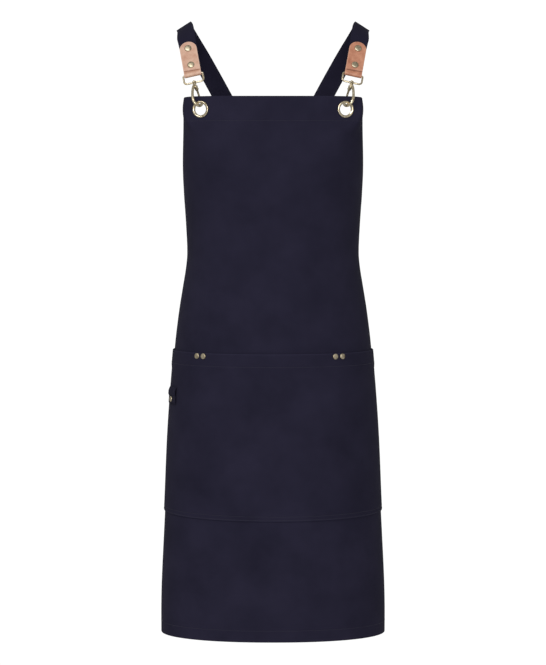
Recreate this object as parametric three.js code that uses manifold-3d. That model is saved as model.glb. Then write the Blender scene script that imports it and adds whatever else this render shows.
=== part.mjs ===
// A cross back work apron, kept in the form it has on a wearer: one cloth panel (bib and skirt) round the front
// and sides, a wide pocket over the hips, and two straps that clip to the bib's grommets through snap hooks on
// leather tabs, go over the shoulders, cross on the back and are sewn to the panel's back corners.
// Millimetres. +Z is up, -Y is the wearer's front, +X is to the right in a front view.
// The origin is midway between the tops of the two straps, where the shoulders carry them.
import * as THREE from 'three';
import { mergeVertices } from 'three/addons/utils/BufferGeometryUtils.js';
import Module from 'manifold-3d';

const wasm = await Module();
wasm.setup();

// Cut of the panel
const apronLength = 850; // bib's top edge to hem
const apronWidth = 640; // skirt, laid flat
const bibWidth = 316; // bib's top edge, laid flat
const bibHeight = 280; // bib's top edge to the back corners
const bibTop = -113; // height of the bib's top edge
const armholeCurve = 2; // 1 is a straight armhole, more is hollower
const cornerDroop = 3; // how far the bib's corners hang below its middle
const clothThickness = 1.4;

// Room that the wearer takes
const hemHalfWidth = 178.5;
const bodyDepth = 115; // from the side seams' plane to the front
const backDepth = 100;

// Pocket
const pocketWidth = 530;
const pocketHeight = 253; // at its side edges
const pocketSag = 8; // its bottom edge is cut lower in the middle
const pocketDrop = 399; // bib's top edge to pocket's top edge
const pocketHem = 22; // turned-over band along the pocket's top edge
const pocketHemExtra = 1.0; // more thickness in that band

// Clearances between touching pieces
const layerGap = 0.5; // between two layers of cloth
const seatGap = 0.3; // between a hard piece and what it sits on
const crossingGap = 1.4; // between the straps where they cross
const footGap = 0.9; // under a strap's end, over the panel's facets

// Grommets
const grommetHole = 9.3; // radii
const grommetFlange = 13.1;
const grommetWall = 1;
const grommetDome = 1.9; // height of the front flange
const grommetBack = 0.9; // height of the back flange
const grommetInset = 45; // from the bib's corner, along its top edge
const grommetDrop = 20.6; // below the bib's top edge
const grommetTurn = 0.22; // share by which the cloth round it is turned to the front

// Rivets
const capRadius = 4.5;
const tabCapRadius = 5.5; // of the rivets through the leather
const capHeight = 1.8;
const capEdge = 0.35; // height of the cap's straight edge
const shankRadius = 1.4;
const backCapShare = 0.8; // of the cap's radius
const backCapHeight = 0.8;
const pocketRivetArcs = [-123.5, -111.5, 98.5, 111]; // along the cloth, from the middle
const pocketRivetDrop = 5; // below the pocket's top edge

// Side loop on the pocket. fromEdge is from its middle to the pocket's side edge, drop from the pocket's top.
const sideLoop = { fromEdge: 80, width: 28, height: 26, drop: 57.5, thickness: 1.6, stand: 2.2, rivetUp: 7 };

// Straps
const strapWidth = 30;
const strapThickness = 1.6;

// Leather tab
const tabWidth = 26.8;
const leather = 1.8;
const tabLength = 58.5; // from the loop's top bar to the tab's round end
const tabEndRadius = 13.6;
const tabRivetHeights = [16, 46.4]; // above the loop's top bar
const strapStart = 11.6; // the strap's end inside the tab, above the top bar

// Loop that the leather holds, with an eye in its lower bar for the hook's stem
const loopWire = 1.45; // radius
const loopHeight = 15; // between the middles of its two bars
const loopCorner = { low: 4.6, top: 2.1 }; // radii of the wire's middle line
const loopPlay = 0.5; // beside the leather
const eye = { radius: 3.3, half: 1.6, bore: 2 };

// Snap hook, measured down from the loop's lower bar
const hookWire = 2.1; // radius
const hookRadius = 9; // of its bend
const hookLength = 41.5; // to the lowest middle of its wire
const stemCollar = 2.8; // radius
const earRadius = 2.1; // of the two ears that hold the gate's pin
const earWall = 0.9;
const pinRadius = 0.8;
const pinRun = 0.3; // clearance round the pin and beside the gate
const gatePivot = { u: 3, w: 11 };
const gateTip = { u: 5.9, w: 31 };
const gateHub = 1.9; // radius
const gateThickness = 2.2;
const gateHalfWidth = 1;

// How the left hook hangs in its grommet. The hook and the tab are in line with the shoulder's front.
const hookYaw = 48; // degrees that the hook's plane is turned from the front
const tabYaw = 3; // degrees that the tab faces outwards
const wireInHole = { out: 2, up: 5.8 }; // where the wire passes through, from the grommet's middle
const wirePast = 2.5; // how far past its lowest point the wire passes through the cloth

// The form of the wearer under the cloth, from the bib's top edge down. drop is a share of apronLength,
// half of hemHalfWidth, front and side of bodyDepth, back of backDepth. side is where the section is widest.
const bodySections = [
  { drop: 0, half: 0.79, front: 0.974, side: 0.24, back: 0.8, roundness: 4 },
  { drop: 0.026, half: 0.794, front: 0.985, side: 0.22, back: 0.82, roundness: 4 },
  { drop: 0.06, half: 0.797, front: 1.004, side: 0.17, back: 0.86, roundness: 3.6 },
  { drop: 0.12, half: 0.8, front: 1.02, side: 0.08, back: 0.92, roundness: 3 },
  { drop: 0.182, half: 0.787, front: 1.0, side: 0.02, back: 0.98, roundness: 2.6 },
  { drop: 0.24, half: 0.77, front: 0.97, side: 0, back: 1, roundness: 2.4 },
  { drop: 0.29, half: 0.761, front: 0.955, side: 0, back: 1, roundness: 2.3 },
  { drop: 0.318, half: 0.773, front: 0.957, side: 0, back: 1, roundness: 2.25 },
  { drop: 0.35, half: 0.798, front: 0.965, side: 0, back: 1, roundness: 2.2 },
  { drop: 0.4, half: 0.836, front: 0.98, side: 0, back: 1.02, roundness: 2.2 },
  { drop: 0.465, half: 0.873, front: 0.995, side: 0, back: 1.04, roundness: 2.2 },
  { drop: 0.61, half: 0.928, front: 1, side: 0, back: 1.06, roundness: 2.2 },
  { drop: 0.765, half: 0.962, front: 1, side: 0, back: 1.06, roundness: 2.2 },
  { drop: 0.895, half: 0.993, front: 1, side: 0, back: 1.06, roundness: 2.2 },
  { drop: 0.95, half: 1, front: 1, side: 0, back: 1.06, roundness: 2.2 },
  { drop: 1, half: 1, front: 1, side: 0, back: 1.06, roundness: 2.2 },
];

// The left strap's middle line from the shoulder back. across is a share of hemHalfWidth, back of backDepth,
// drop of apronLength and width of strapWidth. Its outer face leans outwards by lean degrees and has turned
// backwards by face degrees from facing the front.
const shoulderFront = { across: -0.7675, back: -0.38, drop: 0.0165 };
const strapRun = [
  { across: -0.772, back: -0.2, drop: 0.0078, width: 0.87, lean: 27, face: 66 },
  { across: -0.788, back: 0, drop: 0.0026, width: 0.87, lean: 33, face: 90 },
  { across: -0.778, back: 0.19, drop: 0.008, width: 0.87, lean: 33, face: 112 },
  { across: -0.738, back: 0.4, drop: 0.0245, width: 0.91, lean: 29, face: 132 },
  { across: -0.637, back: 0.66, drop: 0.062, width: 0.97, lean: 22, face: 152 },
  { across: -0.46, back: 0.88, drop: 0.13, width: 1, lean: 14, face: 167 },
  { across: -0.25, back: 1.02, drop: 0.215, width: 1, lean: 6, face: 176 },
  { across: 0, back: 1.09, drop: 0.308, width: 1, lean: 0, face: 180 },
  { across: 0.22, back: 1.03, drop: 0.386, width: 1, lean: -12, face: 180 },
];

// The strap's foot on the panel: its middle line from a place near the back corner, down and forwards.
const strapFoot = { inFromEdge: 9, above: 6, angle: 30, length: 38 };

// The leather's inner faces, from their middle plane, at heights above the loop's top bar. It is pinched
// above the bar and then lies on both faces of the strap.
const tabPinch = [
  { above: 2.5, gap: 1.6 },
  { above: 5, gap: 0.5 },
  { above: 7, gap: 0.25 },
  { above: 9, gap: 0.6 },
];

// The side loop from its top down. down is a share of its height, stand of its stand.
const loopShape = [
  { down: 0, stand: 0 },
  { down: 0.1, stand: 0.5 },
  { down: 0.24, stand: 1 },
  { down: 0.46, stand: 1 },
  { down: 0.55, stand: 0.4 },
  { down: 0.91, stand: 0.4 },
  { down: 1, stand: 0.25 },
];

// The middle line of the hook's fixed leg. u is a share of hookRadius, w of the length to the bend.
const hookLeg = [
  { u: 0, w: 0.14 },
  { u: -0.33, w: 0.33 },
  { u: -0.72, w: 0.62 },
  { u: -0.96, w: 0.86 },
];
const hookTip = { u: 1.04, w: 0.88 };

// How finely the pieces are cut into flat faces
const drillSides = 12;
const turnedSides = 10;
const flangeSides = 18;
const wireSides = 8;
const hookSteps = 20;
const strapSteps = 28;

const fabric = new THREE.MeshStandardMaterial({ color: 0x232231, roughness: 0.9, metalness: 0 });
const webbing = new THREE.MeshStandardMaterial({ color: 0x1d1c2a, roughness: 0.85, metalness: 0 });
const tan = new THREE.MeshStandardMaterial({ color: 0xbb7a58, roughness: 0.55, metalness: 0 });
const antiqueBrass = new THREE.MeshStandardMaterial({ color: 0x9c8a63, roughness: 0.35, metalness: 1 });
const darkBrass = new THREE.MeshStandardMaterial({ color: 0x6d6047, roughness: 0.4, metalness: 1 });

const clamp01 = (t) => Math.min(1, Math.max(0, t));
const smoothStep = (t) => clamp01(t) ** 2 * (3 - 2 * clamp01(t));
const radians = THREE.MathUtils.degToRad;

// A smooth value of one column of a table, at a share of its first column.
function columnAt(table, key, column, at) {
  const last = table.length - 1;
  const past = table.findIndex((row) => row[key] > at);
  const i = past < 0 ? last - 1 : Math.max(0, past - 1);
  const row = (k) => table[Math.min(last, Math.max(0, k))];
  const slope = (k) => {
    const [a, b] = [row(k - 1), row(k + 1)];
    return (b[column] - a[column]) / (b[key] - a[key]);
  };
  const [from, to] = [row(i), row(i + 1)];
  const span = to[key] - from[key];
  const t = clamp01((at - from[key]) / span);
  const [m0, m1] = [slope(i) * span, slope(i + 1) * span];
  return (
    (2 * t ** 3 - 3 * t ** 2 + 1) * from[column] +
    (t ** 3 - 2 * t ** 2 + t) * m0 +
    (-2 * t ** 3 + 3 * t ** 2) * to[column] +
    (t ** 3 - t ** 2) * m1
  );
}

const dropOf = (z) => clamp01((bibTop - z) / apronLength);

// Points round half of the body at one height, from the middle of the front to the middle of the back, with the
// distance walked to each.
const walkSteps = 240;
const walks = new Map();
function walkAround(z) {
  const drop = dropOf(z);
  const kept = walks.get(drop);
  if (kept) return kept;
  const at = (column) => columnAt(bodySections, 'drop', column, drop);
  const half = at('half') * hemHalfWidth;
  const side = -at('side') * bodyDepth;
  const front = at('front') * bodyDepth + side;
  const back = at('back') * backDepth - side;
  const n = at('roundness');
  const walk = [{ x: 0, y: side - front, length: 0 }];
  for (let i = 1; i <= walkSteps; i++) {
    const angle = (Math.PI * i) / walkSteps;
    const depth = angle < Math.PI / 2 ? front : back;
    const reach = ((Math.sin(angle) / half) ** n + Math.abs(Math.cos(angle) / depth) ** n) ** (-1 / n);
    const x = reach * Math.sin(angle);
    const y = side - reach * Math.cos(angle);
    const before = walk[i - 1];
    walk.push({ x, y, length: before.length + Math.hypot(x - before.x, y - before.y) });
  }
  walks.set(drop, walk);
  return walk;
}

// A point on the body, a length of cloth away from its middle line.
function onBody(arc, z) {
  const walk = walkAround(z);
  const along = Math.abs(arc);
  const i = Math.max(1, walk.findIndex((p) => p.length >= along));
  const [a, b] = [walk[i - 1], walk[i]];
  const t = (along - a.length) / (b.length - a.length);
  return new THREE.Vector3(Math.sign(arc) * (a.x + (b.x - a.x) * t), a.y + (b.y - a.y) * t, z);
}

function normalOf(surface, arc, z) {
  const step = 1;
  const across = surface(arc + step, z).sub(surface(arc - step, z));
  const down = surface(arc, z - step).sub(surface(arc, z + step));
  return down.cross(across).normalize();
}

// The cloth lies flat in a rectangle round each grommet.
const flatHalf = grommetFlange + 1.2;
const flatIn = 1.28 * flatHalf; // towards the middle
const flatRadius = Math.hypot(flatHalf, flatIn) + 3.5;
const flatBlend = 20;
const grommetArc = bibWidth / 2 - grommetInset;
const grommetZ = bibTop - grommetDrop;
const forward = new THREE.Vector3(0, -1, 0);
const grommets = [-1, 1].map((side) => ({
  side,
  place: onBody(side * grommetArc, grommetZ),
  normal: normalOf(onBody, side * grommetArc, grommetZ).lerp(forward, grommetTurn).normalize(),
}));
function onCloth(arc, z) {
  const p = onBody(arc, z);
  for (const { place, normal } of grommets) {
    const off = p.clone().sub(place);
    const share = 1 - smoothStep((off.length() - flatRadius) / flatBlend);
    if (share > 0) p.addScaledVector(normal, -off.dot(normal) * share);
  }
  return p;
}
const lifted = (arc, z, height) => onCloth(arc, z).addScaledVector(normalOf(onCloth, arc, z), height);

// A closed wall between two grids of points, rows running down and columns towards +X. The first faces out.
function wall(outer, inner) {
  const [rows, columns] = [outer.length, outer[0].length];
  const points = [...outer.flat(), ...inner.flat()];
  const faces = [];
  const at = (layer, r, c) => layer * rows * columns + r * columns + c;
  const quad = (a, b, c, d) => faces.push(a, b, c, a, c, d);
  for (let r = 0; r < rows - 1; r++)
    for (let c = 0; c < columns - 1; c++) {
      quad(at(0, r, c), at(0, r + 1, c), at(0, r + 1, c + 1), at(0, r, c + 1));
      quad(at(1, r, c), at(1, r, c + 1), at(1, r + 1, c + 1), at(1, r + 1, c));
    }
  for (let c = 0; c < columns - 1; c++) {
    quad(at(0, 0, c), at(0, 0, c + 1), at(1, 0, c + 1), at(1, 0, c));
    quad(at(0, rows - 1, c), at(1, rows - 1, c), at(1, rows - 1, c + 1), at(0, rows - 1, c + 1));
  }
  for (let r = 0; r < rows - 1; r++) {
    quad(at(0, r, 0), at(1, r, 0), at(1, r + 1, 0), at(0, r + 1, 0));
    quad(at(0, r, columns - 1), at(0, r + 1, columns - 1), at(1, r + 1, columns - 1), at(1, r, columns - 1));
  }
  const geometry = new THREE.BufferGeometry();
  geometry.setAttribute('position', new THREE.Float32BufferAttribute(points.flatMap((p) => p.toArray()), 3));
  geometry.setIndex(faces);
  return geometry;
}

function solidOf(geometry) {
  const bare = geometry.clone();
  bare.deleteAttribute('normal');
  bare.deleteAttribute('uv');
  const merged = mergeVertices(bare, 1e-4);
  const vertProperties = new Float32Array(merged.attributes.position.array);
  const triVerts = new Uint32Array(merged.index.array);
  return new wasm.Manifold(new wasm.Mesh({ numProp: 3, vertProperties, triVerts }));
}

function geometryOf(solid) {
  const { vertProperties, triVerts } = solid.getMesh();
  const geometry = new THREE.BufferGeometry();
  geometry.setAttribute('position', new THREE.Float32BufferAttribute(vertProperties, 3));
  geometry.setIndex(new THREE.Uint32BufferAttribute(triVerts, 1));
  return geometry;
}

// A frame whose Y is a given axis, for lathed pieces.
function placedAlong(place, axis) {
  const turn = new THREE.Quaternion().setFromUnitVectors(new THREE.Vector3(0, 1, 0), axis);
  return new THREE.Matrix4().compose(place, turn, new THREE.Vector3(1, 1, 1));
}

const drillDepth = 20;
function drilled(geometry, holes) {
  let solid = solidOf(geometry);
  for (const { place, axis, radius, sides = drillSides } of holes) {
    const drill = new THREE.CylinderGeometry(radius, radius, drillDepth, sides);
    solid = solid.subtract(solidOf(drill.applyMatrix4(placedAlong(place, axis))));
  }
  return geometryOf(solid);
}

const group = new THREE.Group();
function addPiece(name, geometry, material, parent = group) {
  const mesh = new THREE.Mesh(geometry, material);
  mesh.name = name;
  parent.add(mesh);
}

const halfSkirt = apronWidth / 2;
const halfBib = bibWidth / 2;
const halfPocket = pocketWidth / 2;
const pocketTop = bibTop - pocketDrop;

// Half of the panel's cut width at a height.
function edgeArc(z) {
  const t = clamp01((bibTop - z) / bibHeight);
  return halfBib + (halfSkirt - halfBib) * t ** armholeCurve;
}

// Rows of the grid, as drops from the bib's top edge. They are closer round the grommets and at the waist.
const flatDrops = [grommetDrop - flatHalf, grommetDrop + flatHalf];
const bibDrops = [0.215, 0.33, 0.457, 0.6, 0.736, 0.85, 0.936, 1].map((share) => share * bibHeight);
const middleDrops = [1 / 3, 2 / 3, 1].map((share) => bibHeight + share * (pocketDrop - bibHeight));
const bandDrops = [pocketDrop + pocketHem, pocketDrop + pocketHem + 1];
const pocketDrops = [0.27, 0.5, 0.75, 1].map((share) => pocketDrop + share * pocketHeight);
const below = pocketDrop + pocketHeight;
const skirtDrops = [0.25, 0.6, 1].map((share) => below + share * (apronLength - below));
const heightAt = (drop) => bibTop - drop;
const bodyDrops = [...flatDrops, ...bibDrops, ...middleDrops, ...bandDrops, ...pocketDrops, ...skirtDrops];
const panelZs = [0, ...bodyDrops].map(heightAt);
const pocketZs = [pocketDrop, ...bandDrops, ...pocketDrops].map(heightAt);

// Columns of the grid, as shares of the panel's cut width
const flatArcs = [grommetArc - flatIn, grommetArc - flatIn / 2, grommetArc, grommetArc + flatHalf / 2];
const flatShares = [...flatArcs, grommetArc + flatHalf].map((arc) => arc / edgeArc(grommetZ));
const innerShares = [1, 2, 3, 4, 5, 6].map((i) => (i / 7) * flatShares[0]);
const outerShares = [1, 2, 3].map((i) => flatShares.at(-1) + (i / 3) * (1 - flatShares.at(-1)));
const halfShares = [...innerShares, ...flatShares, ...outerShares];
const shares = [...halfShares.map((share) => -share).reverse(), 0, ...halfShares];

// The bib's corners hang a little below its middle.
function hung(z, share) {
  const fade = 1 - smoothStep((bibTop - z) / (bibHeight / 4));
  return z - cornerDroop * fade * share ** 6;
}

const panelGrid = (height) =>
  panelZs.map((z) => shares.map((share) => lifted(share * edgeArc(z), hung(z, share), height)));
const panelWall = wall(panelGrid(0), panelGrid(-clothThickness));

// The pocket lies on the panel, its columns in line with the panel's.
function pocketGrid(liftAt) {
  const inside = shares.map((share) => share * halfSkirt).filter((arc) => Math.abs(arc) < halfPocket);
  const arcs = [-halfPocket, ...inside, halfPocket];
  return pocketZs.map((z, row) =>
    arcs.map((arc) => {
      const low = smoothStep((pocketTop - z) / pocketHeight) * pocketSag * (1 - (arc / halfPocket) ** 2);
      return lifted(arc, z - low, liftAt(row));
    }),
  );
}
const pocketLift = layerGap + clothThickness;
const bandRows = 2;
const pocketWall = wall(
  pocketGrid((row) => pocketLift + (row < bandRows ? pocketHemExtra : 0)),
  pocketGrid(() => layerGap),
);

// The side loop is sewn down at its top, stands off the pocket in its middle and is riveted near its lower end.
const loopArc = sideLoop.fromEdge - halfPocket;
const loopTop = pocketTop - sideLoop.drop;
const loopBase = pocketLift + layerGap;
function loopGrid(extra) {
  const edges = [loopArc - sideLoop.width / 2, loopArc + sideLoop.width / 2];
  const inside = shares.map((share) => share * halfSkirt).filter((arc) => arc > edges[0] && arc < edges[1]);
  return loopShape.map(({ down, stand }) =>
    [edges[0], ...inside, edges[1]].map((arc) =>
      lifted(arc, loopTop - down * sideLoop.height, loopBase + stand * sideLoop.stand + extra),
    ),
  );
}
const loopWall = wall(loopGrid(sideLoop.thickness), loopGrid(0));

// A rivet stands square on the flat face under its cap, and grips as much as lies between its two caps.
const reach = 30; // of the rays that look for the cloth
function rivetOn(geometry, arc, z) {
  const cast = (from, direction, target) =>
    new THREE.Raycaster(from, direction).intersectObject(new THREE.Mesh(target, fabric))[0];
  const hit = cast(lifted(arc, z, reach), normalOf(onCloth, arc, z).negate(), geometry);
  const [place, axis] = [hit.point, hit.face.normal.clone()];
  const behind = placedAlong(place, axis);
  const back = backCapShare * capRadius;
  const rim = [0, 60, 120, 180, 240, 300].map((a) => {
    const [x, z] = [back * Math.cos(radians(a)), back * Math.sin(radians(a))];
    return new THREE.Vector3(x, -reach, z).applyMatrix4(behind);
  });
  const grip = Math.max(...rim.map((from) => reach - cast(from, axis, panelWall).distance));
  return { place, axis, grip };
}
const rivetZ = pocketTop - pocketRivetDrop;
const pocketRivets = pocketRivetArcs.map((arc) => rivetOn(pocketWall, arc, rivetZ));
const loopRivet = rivetOn(loopWall, loopArc, loopTop - sideLoop.height + sideLoop.rivetUp);
const shankHole = ({ place, axis }) => ({ place, axis, radius: shankRadius + seatGap });
const rivetHoles = [...pocketRivets, loopRivet].map(shankHole);
const grommetSeat = grommetHole + grommetWall + seatGap;
const grommetHoles = grommets.map(({ place, normal }) => ({
  place,
  axis: normal,
  radius: grommetSeat,
  sides: flangeSides,
}));
addPiece('apron_panel', drilled(panelWall, [...grommetHoles, ...rivetHoles]), fabric);
addPiece('pocket', drilled(pocketWall, rivetHoles), fabric);
addPiece('side_loop', drilled(loopWall, [shankHole(loopRivet)]), webbing);

// Rivets and grommets are turned round their own axis, which stands on the cloth.

const lathed = (profile, sides) => new THREE.LatheGeometry(profile.map(([r, h]) => new THREE.Vector2(r, h)), sides);

function rivetGeometry(grip, cap) {
  const back = backCapShare * cap;
  const dome = [30, 60].map((a) => [
    cap * Math.cos(radians(a)),
    seatGap + capEdge + (capHeight - capEdge) * Math.sin(radians(a)),
  ]);
  const under = -grip - seatGap;
  const profile = [
    [0, under - backCapHeight],
    [back, under - backCapHeight],
    [back, under],
    [shankRadius, under],
    [shankRadius, seatGap],
    [cap, seatGap],
    [cap, seatGap + capEdge],
    ...dome,
    [0, seatGap + capHeight],
  ];
  return lathed(profile, turnedSides);
}
function addRivet(name, { place, axis, grip }) {
  addPiece(name, rivetGeometry(grip, capRadius).applyMatrix4(placedAlong(place, axis)), darkBrass);
}
pocketRivets.forEach((rivet, i) => addRivet(`pocket_rivet_${i + 1}`, rivet));
addRivet('side_loop_rivet', loopRivet);

function grommetGeometry() {
  const under = -clothThickness - seatGap;
  const barrel = grommetHole + grommetWall;
  const ring = grommetFlange - grommetHole;
  const dome = [
    { out: 1, up: 0.3 },
    { out: 0.8, up: 0.8 },
    { out: 0.5, up: 1 },
    { out: 0.15, up: 0.75 },
    { out: 0, up: 0.2 },
  ].map(({ out, up }) => [grommetHole + out * ring, seatGap + up * grommetDome]);
  const profile = [
    [grommetHole, under - grommetBack],
    [grommetFlange - grommetWall, under - grommetBack],
    [grommetFlange - grommetWall, under],
    [barrel, under],
    [barrel, seatGap],
    [grommetFlange, seatGap],
    ...dome,
    [grommetHole, under - grommetBack],
  ];
  return lathed(profile, flangeSides);
}
grommets.forEach(({ side, place, normal }) => {
  const name = side < 0 ? 'grommet_left' : 'grommet_right';
  addPiece(name, grommetGeometry().applyMatrix4(placedAlong(place, normal)), antiqueBrass);
});

// Hook, loop and leather tab of the left side, each drawn in a plane of its own. In the hook's frame u runs
// across from the fixed leg to the gate, and w down from the loop's lower bar. The right side mirrors the left.

const left = grommets[0];
const squareTo = (v, axis) => v.clone().addScaledVector(axis, -v.dot(axis)).normalize();
const placeOf = ({ across, back, drop }) =>
  new THREE.Vector3(across * hemHalfWidth, back * backDepth, -drop * apronLength);
const clothUp = squareTo(new THREE.Vector3(0, 0, 1), left.normal);
const clothIn = clothUp.clone().cross(left.normal);
const turned = new THREE.Vector3(Math.cos(radians(hookYaw)), Math.sin(radians(hookYaw)), 0);
const hookLow = left.place
  .clone()
  .addScaledVector(clothIn, -wireInHole.out)
  .addScaledVector(clothUp, wireInHole.up)
  .addScaledVector(left.normal, -clothThickness / 2)
  .addScaledVector(turned, -wirePast);
const pull = placeOf(shoulderFront).sub(hookLow).normalize();
const eyePlace = hookLow.clone().addScaledVector(pull, hookLength);
const hookAcross = squareTo(turned, pull);
const hookDown = pull.clone().negate();
const hookFrame = new THREE.Matrix4()
  .makeBasis(hookAcross, hookDown, hookAcross.clone().cross(hookDown))
  .setPosition(eyePlace);
const tabFace = squareTo(forward, pull).applyAxisAngle(pull, -radians(tabYaw));
const tabAcross = pull.clone().cross(tabFace);
const tabFrame = new THREE.Matrix4().makeBasis(tabAcross, pull, tabFace).setPosition(eyePlace);

const hardware = new THREE.Group();
group.add(hardware);
const hookGroup = new THREE.Group();
hookGroup.applyMatrix4(hookFrame);
const tabGroup = new THREE.Group();
tabGroup.applyMatrix4(tabFrame);
hardware.add(hookGroup, tabGroup);

// Angles of the corners of a round wire's section
const wireAngles = Array.from({ length: wireSides }, (_, i) => (2 * Math.PI * (i + 0.5)) / wireSides);

// A cylinder across the hook's plane, at a place in it.
function crossPin(radius, length, { u, w }) {
  return new THREE.CylinderGeometry(radius, radius, length, drillSides).rotateX(Math.PI / 2).translate(u, w, 0);
}

function hookGeometry() {
  const bend = hookLength - hookRadius;
  const curl = [180, 150, 120, 90, 60, 30, 0].map((a) => ({
    u: Math.cos(radians(a)),
    w: 1 + (hookRadius / bend) * Math.sin(radians(a)),
  }));
  const line = [...hookLeg, ...curl, hookTip].map(({ u, w }) => new THREE.Vector3(u * hookRadius, w * bend, 0));
  const section = new THREE.Shape(
    wireAngles.map((a) => new THREE.Vector2(hookWire * Math.cos(a), hookWire * Math.sin(a))),
  );
  const path = new THREE.CatmullRomCurve3(line);
  const wire = new THREE.ExtrudeGeometry(section, { extrudePath: path, steps: hookSteps });

  // The stem turns in the loop's eye, between a round head and a collar.
  const neck = eye.bore - seatGap;
  const seat = eye.half + seatGap;
  const head = [
    [0, -seat - 0.6 * stemCollar],
    [0.55 * stemCollar, -seat - 0.5 * stemCollar],
    [0.9 * stemCollar, -seat - 0.2 * stemCollar],
    [0.9 * stemCollar, -seat],
  ];
  const collar = [
    [stemCollar, seat],
    [stemCollar, seat + 0.45 * stemCollar],
    [0.8 * stemCollar, 0.2 * bend],
    [0, 0.24 * bend],
  ];
  const stem = lathed([...head, [neck, -seat], [neck, seat], ...collar], wireSides);

  // Two ears on a bridge hold the gate's pin.
  const slot = gateThickness + 2 * pinRun;
  const across = slot + 2 * earWall;
  const bridge = new THREE.BoxGeometry(gatePivot.u + earRadius, 2.6 * earRadius, across);
  bridge.translate(gatePivot.u / 2, gatePivot.w - 1.5 * earRadius, 0);
  const ears = solidOf(crossPin(earRadius, across, gatePivot)).add(solidOf(bridge));
  const room = crossPin(earRadius + 2 * pinRun, slot, gatePivot);
  const pin = crossPin(pinRadius, across, gatePivot);
  const body = solidOf(wire).add(solidOf(stem)).add(ears);
  return geometryOf(body.subtract(solidOf(room)).add(solidOf(pin)));
}

function gateGeometry() {
  const taper = gateTip.w - 0.3 * (gateTip.w - gatePivot.w); // below this the lever keeps its width
  const lever = new THREE.Shape([
    new THREE.Vector2(gatePivot.u - 0.9 * gateHub, gatePivot.w),
    new THREE.Vector2(gatePivot.u + 0.9 * gateHub, gatePivot.w),
    new THREE.Vector2(gateTip.u + gateHalfWidth, taper),
    new THREE.Vector2(gateTip.u + gateHalfWidth, gateTip.w),
    new THREE.Vector2(gateTip.u - gateHalfWidth, gateTip.w),
    new THREE.Vector2(gateTip.u - 1.6 * gateHalfWidth, taper),
  ]);
  const bar = new THREE.ExtrudeGeometry(lever, { depth: gateThickness, bevelEnabled: false });
  bar.translate(0, 0, -gateThickness / 2);
  const bore = crossPin(pinRadius + pinRun, 2 * gateThickness, gatePivot);
  const solid = solidOf(bar).add(solidOf(crossPin(gateHub, gateThickness, gatePivot)));
  return geometryOf(solid.subtract(solidOf(bore)));
}

// The loop's wire is a closed ring of sections.
function loopGeometry() {
  const half = tabWidth / 2 + loopPlay + loopWire;
  const { low, top } = loopCorner;
  const corners = [
    { x: half - low, y: low, radius: low, from: -90 },
    { x: half - top, y: loopHeight - top, radius: top, from: 0 },
    { x: -half + top, y: loopHeight - top, radius: top, from: 90 },
    { x: -half + low, y: low, radius: low, from: 180 },
  ];
  const rings = corners.flatMap(({ x, y, radius, from }) =>
    [0, 30, 60, 90].map((turn) => {
      const out = new THREE.Vector3(Math.cos(radians(from + turn)), Math.sin(radians(from + turn)), 0);
      return wireAngles.map((a) =>
        new THREE.Vector3(x, y, loopWire * Math.sin(a)).addScaledVector(out, radius + loopWire * Math.cos(a)),
      );
    }),
  );
  const points = rings.flat();
  const faces = rings.flatMap((ring, i) =>
    ring.flatMap((_, k) => {
      const [a, b] = [i * wireSides + k, i * wireSides + ((k + 1) % wireSides)];
      const [c, d] = [a, b].map((v) => (v + wireSides) % points.length);
      return [a, c, b, b, c, d];
    }),
  );
  const wire = new THREE.BufferGeometry();
  wire.setAttribute('position', new THREE.Float32BufferAttribute(points.flatMap((p) => p.toArray()), 3));
  wire.setIndex(faces);
  const boss = new THREE.CylinderGeometry(eye.radius, eye.radius, 2 * eye.half, turnedSides);
  const bore = new THREE.CylinderGeometry(eye.bore, eye.bore, 4 * eye.half, turnedSides);
  return geometryOf(solidOf(wire).add(solidOf(boss)).subtract(solidOf(bore)));
}

// The leather is folded round the loop's top bar. Its side view is extruded across and cut to the round end.
const tabGap = strapThickness / 2 + seatGap;
const tabHalf = tabGap + leather;
function tabGeometry() {
  const bar = loopWire + seatGap;
  const turn = [-180, -150, -120, -90, -60, -30, 0];
  const round = (radius) => turn.map((a) => [radius * Math.cos(radians(a)), radius * Math.sin(radians(a))]);
  const straight = [strapStart - seatGap, tabLength].map((above) => ({ above, gap: tabGap }));
  const inside = [...tabPinch, ...straight].map(({ above, gap }) => [gap, above]);
  const outside = inside.map(([n, above]) => [n + leather, above]);
  const behind = (list) => list.map(([n, above]) => [-n, above]).reverse();
  const outer = [...behind(outside), ...round(bar + leather), ...outside];
  const inner = [...behind(inside), ...round(bar), ...inside].reverse();
  const side = new THREE.Shape([...outer, ...inner].map(([n, above]) => new THREE.Vector2(n, above)));
  const folded = new THREE.ExtrudeGeometry(side, { depth: tabWidth, bevelEnabled: false });
  folded.rotateY(Math.PI / 2).translate(-tabWidth / 2, loopHeight, 0);

  const outline = new THREE.Shape();
  outline.moveTo(-tabEndRadius, 0);
  outline.lineTo(tabEndRadius, 0);
  outline.absarc(0, loopHeight + tabLength - tabEndRadius, tabEndRadius, 0, Math.PI, false);
  const cutter = new THREE.ExtrudeGeometry(outline, { depth: drillDepth, bevelEnabled: false, curveSegments: 12 });
  cutter.translate(0, 0, -drillDepth / 2);
  const solid = solidOf(folded).intersect(solidOf(cutter));
  return drilled(geometryOf(solid), tabHoles);
}

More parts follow.
